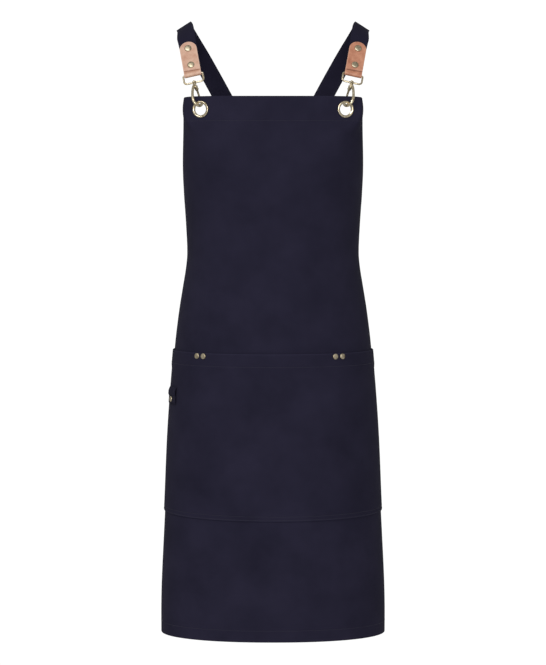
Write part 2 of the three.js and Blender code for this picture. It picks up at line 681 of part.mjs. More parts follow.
const tabHoles = tabRivetHeights.map((above) => ({
  place: new THREE.Vector3(0, loopHeight + above, 0),
  axis: new THREE.Vector3(0, 0, 1),
  radius: shankRadius + seatGap,
}));
addPiece('hook_left', hookGeometry(), antiqueBrass, hookGroup);
addPiece('gate_left', gateGeometry(), darkBrass, hookGroup);
addPiece('strap_loop_left', loopGeometry(), antiqueBrass, tabGroup);
addPiece('leather_tab_left', tabGeometry(), tan, tabGroup);
tabHoles.forEach(({ place, axis }, i) => {
  const rivet = rivetGeometry(2 * tabHalf, tabCapRadius).applyMatrix4(placedAlong(place, axis));
  addPiece(`tab_rivet_left_${i + 1}`, rivet.translate(0, 0, tabHalf), darkBrass, tabGroup);
});

const mirroredHardware = hardware.clone(true);
mirroredHardware.scale.x = -1;
mirroredHardware.traverse((piece) => {
  piece.name = piece.name.replace('_left', '_right');
});
group.add(mirroredHardware);

// A strap is a ribbon through cross sections, each a row of points from its outer edge to its inner edge.

const ribbonColumns = [-0.5, 0, 0.5];
function ribbonSection(middle, tangent, face, width) {
  const half = strapThickness / 2;
  const across = face.clone().cross(tangent).normalize();
  const rows = ribbonColumns.map((share) => middle.clone().addScaledVector(across, share * width));
  return {
    outer: rows.map((p) => p.clone().addScaledVector(face, half)),
    inner: rows.map((p) => p.clone().addScaledVector(face, -half)),
  };
}

// Both straps are drawn as the left one, which ends on the right, and the right one is mirrored afterwards.
// It lies deeper where they cross.
function strapGeometry(side) {
  const along = (length) => eyePlace.clone().addScaledVector(pull, loopHeight + length);
  const under = side > 0 ? strapThickness + crossingGap : 0;
  const atTab = { face: tabFace, width: tabWidth };
  const stops = [
    { middle: along(tabLength + 1), ...atTab },
    { middle: along(tabLength + 6), ...atTab },
  ];
  for (const row of strapRun) {
    const [face, lean] = [radians(row.face), radians(row.lean)];
    const outward = new THREE.Vector3(-Math.sin(lean), -Math.cos(face), Math.sin(face) * Math.cos(lean));
    const middle = placeOf(row);
    middle.y -= under * smoothStep((row.back - 0.6) / 0.3);
    stops.push({ middle, face: outward.normalize(), width: row.width * strapWidth });
  }
  const onFoot = footPoint(0, 0, footGap + strapThickness / 2);
  stops.push({ middle: onFoot, face: footPoint(0, 0, strapWidth).sub(onFoot).normalize(), width: strapWidth });
  const smooth = (points) => new THREE.CatmullRomCurve3(points, false, 'centripetal');
  const path = smooth(stops.map(({ middle }) => middle));
  const faces = smooth(stops.map(({ face }) => face));
  const widths = new THREE.CatmullRomCurve3(stops.map(({ width }) => new THREE.Vector3(width, 0, 0)));
  const sections = [ribbonSection(along(strapStart), pull, tabFace, tabWidth)];
  for (let i = 0; i < strapSteps; i++) {
    const at = i / strapSteps;
    const tangent = path.getTangent(at);
    const face = squareTo(faces.getPoint(at), tangent);
    sections.push(ribbonSection(path.getPoint(at), tangent, face, widths.getPoint(at).x));
  }
  for (const share of [0, 1 / 3, 2 / 3, 1]) {
    const length = share * strapFoot.length;
    sections.push({ outer: footRow(length, footGap + strapThickness), inner: footRow(length, footGap) });
  }
  return wall(
    sections.map(({ outer }) => outer),
    sections.map(({ inner }) => inner),
  );
}

// A point of the strap's foot, across and down its length, at a height over the panel.
function footPoint(across, length, height) {
  const [over, down] = [Math.sin(radians(strapFoot.angle)), Math.cos(radians(strapFoot.angle))];
  const arc = halfSkirt - strapFoot.inFromEdge - length * over + across * down;
  const z = bibTop - bibHeight + strapFoot.above - length * down - across * over;
  return lifted(arc, z, height);
}
const footRow = (length, height) => ribbonColumns.map((share) => footPoint(share * strapWidth, length, height));

const strapHoles = tabHoles.map(({ place, axis, radius }) => ({
  place: place.clone().applyMatrix4(tabFrame),
  axis: axis.clone().transformDirection(tabFrame),
  radius,
}));
function strapDrilled(side) {
  const geometry = drilled(strapGeometry(side), strapHoles);
  return side < 0 ? geometry : geometryOf(solidOf(geometry).mirror([1, 0, 0]));
}
addPiece('strap_left', strapDrilled(-1), webbing);
addPiece('strap_right', strapDrilled(1), webbing);

export default group;
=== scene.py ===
# %% [markdown]
# A cross back apron as it hangs on a wearer. The imported solids give the places and sizes. Here each of them
# gets the look of the real thing: woven cloth with turned hems and rows of stitches, oiled leather, and
# hardware of antique brass. The cloth's surface is worked out again from the same few sections as the solids,
# because a rendered sheet needs many more faces than a solid for collision does.

# %% Load the solids
import math
from contextlib import contextmanager

import bmesh
import bpy
import numpy as np
from mathutils import Matrix, Vector


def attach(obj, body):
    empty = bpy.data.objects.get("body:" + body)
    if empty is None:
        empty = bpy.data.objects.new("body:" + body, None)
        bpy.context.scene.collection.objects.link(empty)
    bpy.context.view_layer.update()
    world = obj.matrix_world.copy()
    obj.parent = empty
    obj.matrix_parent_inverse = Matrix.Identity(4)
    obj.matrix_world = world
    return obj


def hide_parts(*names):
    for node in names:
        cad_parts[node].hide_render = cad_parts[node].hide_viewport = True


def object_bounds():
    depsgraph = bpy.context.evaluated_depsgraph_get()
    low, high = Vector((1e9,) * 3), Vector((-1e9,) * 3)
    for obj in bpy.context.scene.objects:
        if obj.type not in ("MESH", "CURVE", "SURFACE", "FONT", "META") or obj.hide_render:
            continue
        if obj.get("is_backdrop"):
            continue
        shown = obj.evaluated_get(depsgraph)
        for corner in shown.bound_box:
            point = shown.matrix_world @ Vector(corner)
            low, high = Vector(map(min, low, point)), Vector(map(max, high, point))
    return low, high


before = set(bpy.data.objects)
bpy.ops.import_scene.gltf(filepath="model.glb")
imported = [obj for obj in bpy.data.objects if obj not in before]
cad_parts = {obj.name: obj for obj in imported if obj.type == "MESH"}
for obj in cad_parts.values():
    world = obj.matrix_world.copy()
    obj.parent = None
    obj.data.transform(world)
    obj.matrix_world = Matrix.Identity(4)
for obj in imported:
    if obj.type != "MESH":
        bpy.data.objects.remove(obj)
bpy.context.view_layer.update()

MM = 0.001

# %% [markdown]
# The camera stands where the photograph was taken from: far off with a long lens, so that there is little
# perspective, level with the shoulders and pitched down a little. Its lens is the focal length in pixels over
# the picture's longer side, times the sensor.

# %% Camera
PICTURE_HEIGHT = 665
FOCAL_PIXELS = 2850
CAMERA_PLACE = (0, -4.515, -0.181)
CAMERA_PITCH = 3.864

bpy.ops.object.camera_add(location=CAMERA_PLACE, rotation=(math.radians(90 - CAMERA_PITCH), 0, 0))
camera = bpy.context.object
camera.name = "camera"
camera.data.sensor_width = 36
camera.data.lens = FOCAL_PIXELS / PICTURE_HEIGHT * camera.data.sensor_width
camera.data.clip_end = 20
bpy.context.scene.camera = camera
print("lens", round(camera.data.lens, 1), "mm")

# %% [markdown]
# Materials are built from small nodes. One function turns a colour as a painter reads it, sRGB hex, into the
# linear numbers that Blender wants, and one adds a node with its settings and links. Nodes that most
# materials use, such as noise, have a short function each.

# %% Colour and node helpers


def linear(hex_code):
    values = [int(hex_code[i:i + 2], 16) / 255 for i in (1, 3, 5)]
    return [v / 12.92 if v <= 0.04045 else ((v + 0.055) / 1.055) ** 2.4 for v in values] + [1.0]


def new_material(name):
    material = bpy.data.materials.new(name)
    material.use_nodes = True
    material.node_tree.nodes.clear()
    return material


def add(material, kind, settings=None, **inputs):
    node = material.node_tree.nodes.new(kind)
    for key, value in (settings or {}).items():
        setattr(node, key, value)
    for key, value in inputs.items():
        socket = node.inputs[int(key[1:])] if key[1:].isdigit() else node.inputs[key.replace("_", " ")]
        if isinstance(value, bpy.types.NodeSocket):
            material.node_tree.links.new(value, socket)
        else:
            socket.default_value = value
    return node


def ramp(material, factor, stops):
    node = add(material, "ShaderNodeValToRGB", Fac=factor)
    while len(node.color_ramp.elements) < len(stops):
        node.color_ramp.elements.new(0.5)
    for element, (place, colour) in zip(node.color_ramp.elements, stops):
        element.position = place
        element.color = linear(colour)
    return node.outputs["Color"]


def surface(material, **inputs):
    shader = add(material, "ShaderNodeBsdfPrincipled", **inputs)
    add(material, "ShaderNodeOutputMaterial", Surface=shader.outputs[0])


def bump(material, height, millimetres, strength=1.0):
    node = add(material, "ShaderNodeBump", Height=height, Distance=millimetres * MM, Strength=strength)
    return node.outputs["Normal"]


def noise(material, place, scale, detail, **more):
    node = add(material, "ShaderNodeTexNoise", Vector=place, Scale=scale, Detail=detail, **more)
    return node.outputs["Fac"]


def multiply_add(material, value, factor, added):
    node = add(material, "ShaderNodeMath", {"operation": "MULTIPLY_ADD"}, _0=value, _1=factor, _2=added)
    return node.outputs[0]


def mixed(material, share, first, second):
    node = add(material, "ShaderNodeMix", {"data_type": "RGBA"}, _0=share, _6=first, _7=second)
    return node.outputs[2]


def marks_of(material):
    """The attribute in which a mesh carries its paler edges and its painted light: highlights on folds, shade
    in creases.
    """
    return add(material, "ShaderNodeAttribute", {"attribute_name": "pale_edge_and_painted_light"}).outputs["Fac"]


def place_in(material):
    return add(material, "ShaderNodeTexCoord").outputs["Object"]


# %% [markdown]
# The cloth is a tight cotton and polyester twill, piece-dyed a very dark navy. Its diagonal ribs are about
# 0.6 mm apart on the real thing and are drawn 1.1 mm apart, so that they still show in a picture at this
# distance. Thread makes a dull surface and a dye lot is never quite even. A folded edge is painted paler: a
# painted highlight on the fold, which also lightens its shade. That highlight comes from an attribute that
# the mesh carries.

# %% Twill cloth
TWILL_RIB = 1.1
WAVE_PERIOD = 0.628
# The colour of the painted highlight on folded edges.
FOLD_HIGHLIGHT_COLOUR = "#4a4862"


def twill_cloth(name, dark, light):
    material = new_material(name)
    flat = add(material, "ShaderNodeUVMap", {"uv_map": "cloth_mm"}).outputs["UV"]
    ribs = add(material, "ShaderNodeTexWave", {"wave_type": "BANDS", "bands_direction": "DIAGONAL"},
               Vector=flat, Scale=WAVE_PERIOD / (TWILL_RIB * math.sqrt(2)), Distortion=0.6, Detail=1.0,
               Detail_Scale=2.0)
    height = multiply_add(material, noise(material, flat, 1.6, 2.0), 0.5, ribs.outputs["Fac"])
    cloudy = noise(material, flat, 0.012, 3.0, Roughness=0.6)
    dyed = ramp(material, multiply_add(material, height, 0.3, cloudy), [(0.3, dark), (1.0, light)])
    # Where the mesh's attribute is above zero, the colour turns towards the painted highlight of a folded
    # edge.
    colour = mixed(material, marks_of(material), dyed, linear(FOLD_HIGHLIGHT_COLOUR))
    surface(material, Base_Color=colour, Roughness=0.85, Specular_IOR_Level=0.03, Sheen_Weight=0.01,
            Sheen_Roughness=0.5, Normal=bump(material, height, 0.12, 0.7))
    return material


navy_twill = twill_cloth("navy_cotton_twill", "#181724", "#252333")
navy_strap = twill_cloth("navy_strap_twill", "#151420", "#211f2e")


def polyester_thread():
    material = new_material("navy_polyester_thread")
    twist = noise(material, place_in(material), 900.0, 1.0)
    colour = ramp(material, twist, [(0.3, "#191825"), (0.7, "#292737")])
    surface(material, Base_Color=colour, Roughness=0.55, Specular_IOR_Level=0.4,
            Normal=bump(material, twist, 0.05, 0.5))
    return material


thread = polyester_thread()
print("cloth materials:", navy_twill.name, navy_strap.name, thread.name)

# %% [markdown]
# The tabs are vegetable tanned leather, cut from a hide, paler towards their edges, with a crease pressed
# across them where they are folded round the loop; the crease is darkened with painted shade. Grain is small
# pebbles under half a millimetre, drawn at 0.9 mm. Edge and crease come from an attribute that the mesh
# carries, below zero at an edge, above it in the crease.

# %% Leather
PEBBLE = 0.9


def tanned_leather(name, pale, deep, rim, crease):
    material = new_material(name)
    place = place_in(material)
    pebbles = add(material, "ShaderNodeTexVoronoi", {"feature": "SMOOTH_F1"}, Vector=place,
                  Scale=1 / (PEBBLE * MM), Smoothness=0.6)
    pores = noise(material, place, 700.0, 3.0)
    patches = noise(material, place, 90.0, 4.0, Roughness=0.65)
    tone = ramp(material, patches, [(0.3, deep), (0.68, pale)])
    pale_edge_and_painted_light = marks_of(material)
    # The crease is darkened with painted shade, and the edges, where the attribute is below zero, are paler.
    crease_shaded = mixed(material, pale_edge_and_painted_light, tone, linear(crease))
    paler_edge = add(material, "ShaderNodeMath", {"operation": "MULTIPLY"}, _0=pale_edge_and_painted_light, _1=-1.0).outputs[0]
    height = multiply_add(material, pores, 0.4, pebbles.outputs["Distance"])
    surface(material, Base_Color=mixed(material, paler_edge, crease_shaded, linear(rim)), Roughness=0.48,
            Specular_IOR_Level=0.5, Coat_Weight=0.15, Coat_Roughness=0.35,
            Normal=bump(material, height, 0.12, 0.6))
    return material


# The left tab's leather is painted lighter and the right's darker: lit and shaded copies of one leather. The
# last colour of each is the crease's painted shade.
left_leather_painted_lit = tanned_leather("tan_leather_left", "#c09d86", "#a97a62", "#d3b09e", "#6e3820")
right_leather_painted_shade = tanned_leather("tan_leather_right", "#ba8367", "#935940", "#c08c70", "#5a2e1d")

# %% [markdown]
# The hardware is die cast and wire in antique brass plating, tumbled so that the high places are pale and the
# hollows keep a brown patina. A metal's colour is its reflection, so the base colour is the bright one. Pale
# pieces are the grommets, hooks and loops. Gates and rivets are browner.

# %% Antique brass
PATINA_ROUGHER = 0.14


def antique_brass(name, bright, patina, roughness):
    material = new_material(name)
    place = place_in(material)
    cloudy = noise(material, place, 260.0, 4.0, Roughness=0.7)
    tone = ramp(material, cloudy, [(0.35, patina), (0.62, bright)])
    rough = add(material, "ShaderNodeMapRange", Value=cloudy, To_Min=roughness + PATINA_ROUGHER,
                To_Max=roughness)
    surface(material, Base_Color=tone, Metallic=1.0, Roughness=rough.outputs[0],
            Normal=bump(material, noise(material, place, 2500.0, 2.0), 0.02, 0.35))
    return material


pale_brass = antique_brass("pale_antique_brass", "#dcd1b8", "#9f8f6d", 0.2)
dark_brass = antique_brass("dark_antique_brass", "#bfb49c", "#7c6f56", 0.34)
gate_brass = antique_brass("gate_antique_brass", "#968a70", "#5f5440", 0.3)
print("metals:", pale_brass.name, dark_brass.name, gate_brass.name)

# %% [markdown]
# The cloth follows the wearer's form, which is given as a few level sections from the bib's top down to the
# hem. Each section is a rounded ellipse with its own front, side and back. Sizes are in millimetres here, as
# a tailor measures, and a share is a share of the named size beside it.

# %% Sizes of the cut
APRON_LENGTH, APRON_WIDTH = 850, 640
BIB_WIDTH, BIB_HEIGHT, BIB_TOP = 316, 280, -113
ARMHOLE_CURVE, CORNER_DROOP = 2, 3
CLOTH, LAYER_GAP, SEAT_GAP = 1.4, 0.5, 0.3
HEM_HALF_WIDTH, BODY_DEPTH, BACK_DEPTH = 178.5, 115, 100
POCKET_WIDTH, POCKET_HEIGHT, POCKET_SAG, POCKET_DROP = 530, 253, 8, 399
POCKET_BAND, BAND_EXTRA = 22, 1.0
GROMMET_HOLE, GROMMET_FLANGE, GROMMET_DROP, GROMMET_INSET, GROMMET_TURN = 9.3, 13.1, 20.6, 45, 0.22

SECTION_COLUMNS = ("drop", "half", "front", "side", "back", "roundness")
BODY_SECTIONS = (
    (0, 0.79, 0.974, 0.24, 0.8, 4),
    (0.026, 0.794, 0.985, 0.22, 0.82, 4),
    (0.06, 0.797, 1.004, 0.17, 0.86, 3.6),
    (0.12, 0.8, 1.02, 0.08, 0.92, 3),
    (0.182, 0.787, 1.0, 0.02, 0.98, 2.6),
    (0.24, 0.77, 0.97, 0, 1, 2.4),
    (0.29, 0.761, 0.955, 0, 1, 2.3),
    (0.318, 0.773, 0.957, 0, 1, 2.25),
    (0.35, 0.798, 0.965, 0, 1, 2.2),
    (0.4, 0.836, 0.98, 0, 1.02, 2.2),
    (0.465, 0.873, 0.995, 0, 1.04, 2.2),
    (0.61, 0.928, 1, 0, 1.06, 2.2),
    (0.765, 0.962, 1, 0, 1.06, 2.2),
    (0.895, 0.993, 1, 0, 1.06, 2.2),
    (0.95, 1, 1, 0, 1.06, 2.2),
    (1, 1, 1, 0, 1.06, 2.2),
)


def smooth_step(t):
    t = np.clip(t, 0, 1)
    return t * t * (3 - 2 * t)


def section_at(column, drop):
    """A smooth value of one column at each drop, with the slope at a row taken from its neighbours."""
    rows = np.array(BODY_SECTIONS, float)
    key, value = rows[:, 0], rows[:, SECTION_COLUMNS.index(column)]
    before, after = np.maximum(np.arange(len(key)) - 1, 0), np.minimum(np.arange(len(key)) + 1, len(key) - 1)
    slope = (value[after] - value[before]) / (key[after] - key[before])
    i = np.clip(np.searchsorted(key, drop, side="right") - 1, 0, len(key) - 2)
    span = key[i + 1] - key[i]
    t = np.clip((drop - key[i]) / span, 0, 1)
    return ((2 * t**3 - 3 * t**2 + 1) * value[i] + (t**3 - 2 * t**2 + t) * slope[i] * span
            + (-2 * t**3 + 3 * t**2) * value[i + 1] + (t**3 - t**2) * slope[i + 1] * span)


# %% [markdown]
# Walking round each section gives the distance along the cloth, so a point is found by its arc, the length
# of cloth from the middle, and its height. The walks are kept in one table, 2 mm apart both ways.

# %% The cloth's surface
TABLE_STEP = 2.0
LONGEST_ARC = 345
WALK_POINTS = 241
ARC_STEPS = np.arange(0, LONGEST_ARC + TABLE_STEP, TABLE_STEP)
DROP_STEPS = np.arange(0, APRON_LENGTH + TABLE_STEP, TABLE_STEP)


def walked(points):
    """How far along a line of points each of them lies."""
    return np.concatenate([[0], np.cumsum(np.linalg.norm(np.diff(points, axis=0), axis=1))])


def sampled(values, knots, places):
    """Columns of values that are given at the knots, read at other places."""
    return np.stack([np.interp(places, knots, column) for column in values.T], axis=-1)


def walk_table():
    angle = np.linspace(0, math.pi, WALK_POINTS)
    table = []
    for drop in np.minimum(DROP_STEPS / APRON_LENGTH, 1):
        half, n = section_at("half", drop) * HEM_HALF_WIDTH, section_at("roundness", drop)
        side = -section_at("side", drop) * BODY_DEPTH
        front = section_at("front", drop) * BODY_DEPTH + side
        back = section_at("back", drop) * BACK_DEPTH - side
        depth = np.where(angle < math.pi / 2, front, back)
        reach = ((np.sin(angle) / half) ** n + np.abs(np.cos(angle) / depth) ** n) ** (-1 / n)
        x, y = reach * np.sin(angle), side - reach * np.cos(angle)
        walk = np.stack([x, y], axis=-1)
        table.append(sampled(walk, walked(walk), ARC_STEPS))
    return np.array(table)


WALKS = walk_table()


def on_body(arc, z):
    arc, z = np.broadcast_arrays(np.asarray(arc, float), np.asarray(z, float))
    r = np.clip((BIB_TOP - z) / TABLE_STEP, 0, len(DROP_STEPS) - 1.001)
    c = np.clip(np.abs(arc) / TABLE_STEP, 0, len(ARC_STEPS) - 1.001)
    i, j = r.astype(int), c.astype(int)
    u, v = (r - i)[..., None], (c - j)[..., None]
    xy = (WALKS[i, j] * (1 - u) * (1 - v) + WALKS[i + 1, j] * u * (1 - v)
          + WALKS[i, j + 1] * (1 - u) * v + WALKS[i + 1, j + 1] * u * v)
    return np.stack([np.sign(arc) * xy[..., 0], xy[..., 1], z], axis=-1)


def unit(v):
    return v / np.linalg.norm(v, axis=-1, keepdims=True)


def normal_of(surface_at, arc, z, step=2.0):
    across = surface_at(arc + step, z) - surface_at(arc - step, z)
    down = surface_at(arc, z - step) - surface_at(arc, z + step)
    return unit(np.cross(down, across))


FORWARD = np.array([0.0, -1.0, 0.0])
GROMMET_ARC = BIB_WIDTH / 2 - GROMMET_INSET
GROMMET_Z = BIB_TOP - GROMMET_DROP
FLAT_HALF = GROMMET_FLANGE + 1.2
FLAT_RADIUS = math.hypot(FLAT_HALF, 1.28 * FLAT_HALF) + 3.5
FLAT_BLEND = 20


def grommet_seats():
    seats = []
    for side in (-1, 1):
        arc = side * GROMMET_ARC
        normal = normal_of(on_body, arc, GROMMET_Z, 1.0)
        seats.append((on_body(arc, GROMMET_Z), unit(normal + (FORWARD - normal) * GROMMET_TURN)))
    return seats


SEATS = grommet_seats()


def on_cloth(arc, z):
    """The cloth's outer face: the body's form, flat round each grommet."""
    p = on_body(arc, z)
    for place, normal in SEATS:
        off = p - place
        share = 1 - smooth_step((np.linalg.norm(off, axis=-1) - FLAT_RADIUS) / FLAT_BLEND)
        p = p - normal * (np.sum(off * normal, axis=-1) * share)[..., None]
    return p


def over_cloth(arc, z, height):
    """Points at a height over the cloth's outer face, with the normals there."""
    normals = normal_of(on_cloth, arc, z)
    return on_cloth(arc, z) + normals * np.asarray(height, float)[..., None], normals


def lifted(arc, z, height):
    return over_cloth(arc, z, height)[0]


def edge_arc(z):
    t = np.clip((BIB_TOP - z) / BIB_HEIGHT, 0, 1)
    return BIB_WIDTH / 2 + (APRON_WIDTH - BIB_WIDTH) / 2 * t**ARMHOLE_CURVE


print("grommets at", [np.round(place, 1).tolist() for place, _ in SEATS])

# %% [markdown]
# A sheet of cloth is one closed skin: an outer and an inner grid of points that meet at the folded edge. The
# grid is fine where the hem turns and at the rows of stitches, and coarse in the open cloth. The fold is half
# a circle in section. A hem is pressed nearly flat, so that the gates behind it swing free, and its thread
# pulls a shallow groove.

# %% Sheets
FOLD_INSETS = (0, 0.12, 0.35, 0.75, 1.3, 2.5)
GROOVE_DEPTH, GROOVE_REACH = 0.22, 1.1
GROOVE_OUTSIDE, GROOVE_INSIDE = 0.6, 0.5
GROOVE_LINES = (-1.6, -0.8, 0, 0.8, 1.6)
HEM_EXTRA, HEM_STEP = 0.15, 1.2
COARSE_STEP = 4.0
WELD_SHEET, WELD_TURNED = 2e-5, 2e-6


def insets_for(hem, stitches):
    """Distances from the edge at which the grid has a line."""
    places = set(FOLD_INSETS)
    for stitch in stitches:
        places.update(stitch + d for d in GROOVE_LINES)
    places.update((hem - 0.6, hem, hem + 0.6, hem + HEM_STEP, hem + FOLD_INSETS[-1]))
    coarse = np.arange(FOLD_INSETS[-1], hem, COARSE_STEP)
    places.update(d for d in coarse if min(abs(d - p) for p in places) > 1.0)
    return np.array(sorted(round(p, 3) for p in places if p >= 0))


def grid_lines(near, far, size, count):
    """Lines from one edge of a sheet to the other: insets from both edges, and even steps between them."""
    near, far = np.array(near), size - np.array(far)[::-1]
    return np.concatenate([near, np.linspace(near[-1], far[0], count)[1:-1], far])


def to_edge(place, size):
    """The distance to the nearer one of two opposite edges."""
    return np.minimum(place, size - place)


def fold_drop(inset, thickness):
    radius = thickness / 2
    t = np.clip(inset / radius, 0, 1)
    return radius * (1 - np.sqrt(np.clip(1 - (1 - t) ** 2, 0, 1)))


def grooves(inset, stitches):
    return sum(GROOVE_DEPTH * np.exp(-((inset - stitch) / GROOVE_REACH) ** 2) for stitch in stitches)


def off_the_edge(nearest):
    """No groove or crease reaches the folded edge itself, where the two faces meet."""
    return smooth_step(nearest / FOLD_INSETS[-2])


def linked(name, data):
    piece = bpy.data.objects.new(name, data)
    bpy.context.collection.objects.link(piece)
    return piece


def mesh_piece(name, points, faces, material, uv=None, pale_edge_and_painted_light=None):
    """A mesh object from points in millimetres. uv has one pair for each point; the attribute of paler edges
    and painted light has one number.
    """
    mesh = bpy.data.meshes.new(name)
    mesh.from_pydata((np.asarray(points) * MM).tolist(), [], faces)
    if pale_edge_and_painted_light is not None:
        mesh.attributes.new("pale_edge_and_painted_light", "FLOAT", "POINT").data.foreach_set("value", np.asarray(pale_edge_and_painted_light, np.float32))
    if uv is not None:
        corners = np.zeros(len(mesh.loops), int)
        mesh.loops.foreach_get("vertex_index", corners)
        layer = mesh.uv_layers.new(name="cloth_mm")
        layer.data.foreach_set("uv", np.asarray(uv, np.float32)[corners].ravel())
    mesh.materials.append(material)
    mesh.shade_smooth()
    return linked(name, mesh)


def grid_faces(rows, columns, start=0, flip=False):
    r, c = np.meshgrid(np.arange(rows - 1), np.arange(columns - 1), indexing="ij")
    a = start + (r * columns + c).ravel()
    quads = np.stack([a, a + columns, a + columns + 1, a + 1], axis=-1)
    return quads[:, ::-1] if flip else quads


def deselect():
    bpy.ops.object.select_all(action="DESELECT")


def only(piece):
    """Selects one object and makes it active, as a click on it does."""
    deselect()
    piece.select_set(True)
    bpy.context.view_layer.objects.active = piece


@contextmanager
def all_of_it_in_edit_mode(piece):
    only(piece)
    bpy.ops.object.mode_set(mode="EDIT")
    bpy.ops.mesh.select_all(action="SELECT")
    yield
    bpy.ops.object.mode_set(mode="OBJECT")


def weld(piece, distance=1e-6, recalculate=False):
    with all_of_it_in_edit_mode(piece):
        bpy.ops.mesh.remove_doubles(threshold=distance)
        if recalculate:
            bpy.ops.mesh.normals_make_consistent(inside=False)


def open_edges(piece):
    mesh = bmesh.new()
    mesh.from_mesh(piece.data)
    count = sum(1 for edge in mesh.edges if not edge.is_manifold)
    mesh.free()
    return count


def sheet_piece(name, outer, inner, arcs, drops, material, pale_edge_and_painted_light=None):
    rows, columns = outer.shape[:2]
    points = np.concatenate([outer.reshape(-1, 3), inner.reshape(-1, 3)])
    faces = np.concatenate([grid_faces(rows, columns), grid_faces(rows, columns, rows * columns, flip=True)])
    uv = np.stack(np.broadcast_arrays(arcs, drops), axis=-1).reshape(-1, 2)
    marks = None if pale_edge_and_painted_light is None else np.tile(pale_edge_and_painted_light.ravel(), 2)
    piece = mesh_piece(name, points, faces.tolist(), material, np.tile(uv, (2, 1)), marks)
    weld(piece, WELD_SHEET)
    print(name, "has", len(piece.data.polygons), "faces and", open_edges(piece), "open edges")
    return piece


# %% [markdown]
# Stitches are real thread here: each is a short bulging strand that lies along the seam and dips into the
# cloth at both ends. One strand has few faces, because there are thousands, and a seam is one mesh.

# %% Stitches
STITCH_LENGTH, STITCH_PITCH, THREAD_RADIUS = 2.9, 3.7, 0.26
STRAND_SIDES, STRAND_RISE = 5, 1.6
STRAND_STATIONS = ((0, 0.25, -0.35), (0.16, 0.85, 0.1), (0.5, 1, 0.32), (0.84, 0.85, 0.1), (1, 0.25, -0.35))


def strand_faces():
    """The sides of one stitch, from station to station, and its two caps."""
    around = range(STRAND_SIDES)
    last = (len(STRAND_STATIONS) - 1) * STRAND_SIDES
    sides = []
    for start in range(0, last, STRAND_SIDES):
        for k in around:
            a, b = start + k, start + (k + 1) % STRAND_SIDES
            sides.append([a, b, b + STRAND_SIDES, a + STRAND_SIDES])
    return sides, [list(reversed(around)), [last + k for k in around]]


def seam(name, runs):
    """runs are lists of (points, normals) along which the stitches lie, all in millimetres."""
    starts, ends, outs = [], [], []
    for points, normals in runs:
        length = walked(points)
        count = max(1, int(length[-1] / STITCH_PITCH))
        first = (np.arange(count) + 0.5) * length[-1] / count - STITCH_LENGTH / 2
        starts.append(sampled(points, length, first))
        ends.append(sampled(points, length, first + STITCH_LENGTH))
        outs.append(sampled(normals, length, first))
    start, end, out = (np.concatenate(v) for v in (starts, ends, outs))
    out = unit(out)
    across = unit(np.cross(end - start, out))
    rings = []
    for along, girth, rise in STRAND_STATIONS:
        middle = start + (end - start) * along + out * (rise * THREAD_RADIUS * STRAND_RISE)
        for a in np.arange(STRAND_SIDES) * 2 * math.pi / STRAND_SIDES:
            rings.append(middle + (across * math.cos(a) + out * math.sin(a)) * (girth * THREAD_RADIUS))
    per_strand = len(rings)
    firsts = range(0, len(start) * per_strand, per_strand)
    faces = [[n + k for k in face] for group in strand_faces() for n in firsts for face in group]
    print(name, "has", len(start), "stitches")
    return mesh_piece(name, np.stack(rings, axis=1).reshape(-1, 3), faces, thread)


def belongs(piece, body, slot, *nodes):
    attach(piece, body)
    if nodes:
        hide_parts(*nodes)
    return piece


# %% [markdown]
# The panel is bib and skirt in one. Its armhole edges run on a slant, so a hem of even width takes more of
# the arc there. The bib's top hem is deep enough to back the grommets. Holes for them are cut afterwards.

# %% Panel
SIDE_HEM, TOP_HEM, BOTTOM_HEM = 12, 40, 20
STITCH_INSET = 1.8
PANEL_COLUMNS, PANEL_ROWS = 118, 158
ARMHOLE_END = 16
DROOP_REACH, DROOP_POWER = BIB_HEIGHT / 4, 6


def slant(drops):
    """How much more of the arc a hem takes where its edge runs on a slant."""
    slope = (APRON_WIDTH - BIB_WIDTH) / BIB_HEIGHT * np.clip(drops / BIB_HEIGHT, 0, 1)
    slope = slope * (1 - smooth_step((drops - BIB_HEIGHT + ARMHOLE_END) / ARMHOLE_END))
    return np.sqrt(1 + slope**2)


def hem_lines(hem):
    return insets_for(hem, [hem - STITCH_INSET])


def panel_grid():
    drops = grid_lines(hem_lines(TOP_HEM), hem_lines(BOTTOM_HEM), APRON_LENGTH, PANEL_ROWS)[:, None]
    edge, lines = edge_arc(BIB_TOP - drops), hem_lines(SIDE_HEM)
    inner = np.linspace(-1, 1, PANEL_COLUMNS) * (edge - lines[-1] * slant(drops))
    left = lines[:-1] * slant(drops) - edge
    arcs = np.concatenate([left, inner, -left[:, ::-1]], axis=1)
    side_inset = np.concatenate([lines[:-1], np.full(PANEL_COLUMNS, lines[-1]), lines[:-1][::-1]])
    side_inset = np.maximum(side_inset, (edge - np.abs(arcs)) / slant(drops))
    return arcs, drops + 0 * arcs, side_inset


def hung(z, share):
    """The bib's corners hang a little below its middle."""
    fade = 1 - smooth_step((BIB_TOP - z) / DROOP_REACH)
    return z - CORNER_DROOP * fade * np.abs(share) ** DROOP_POWER


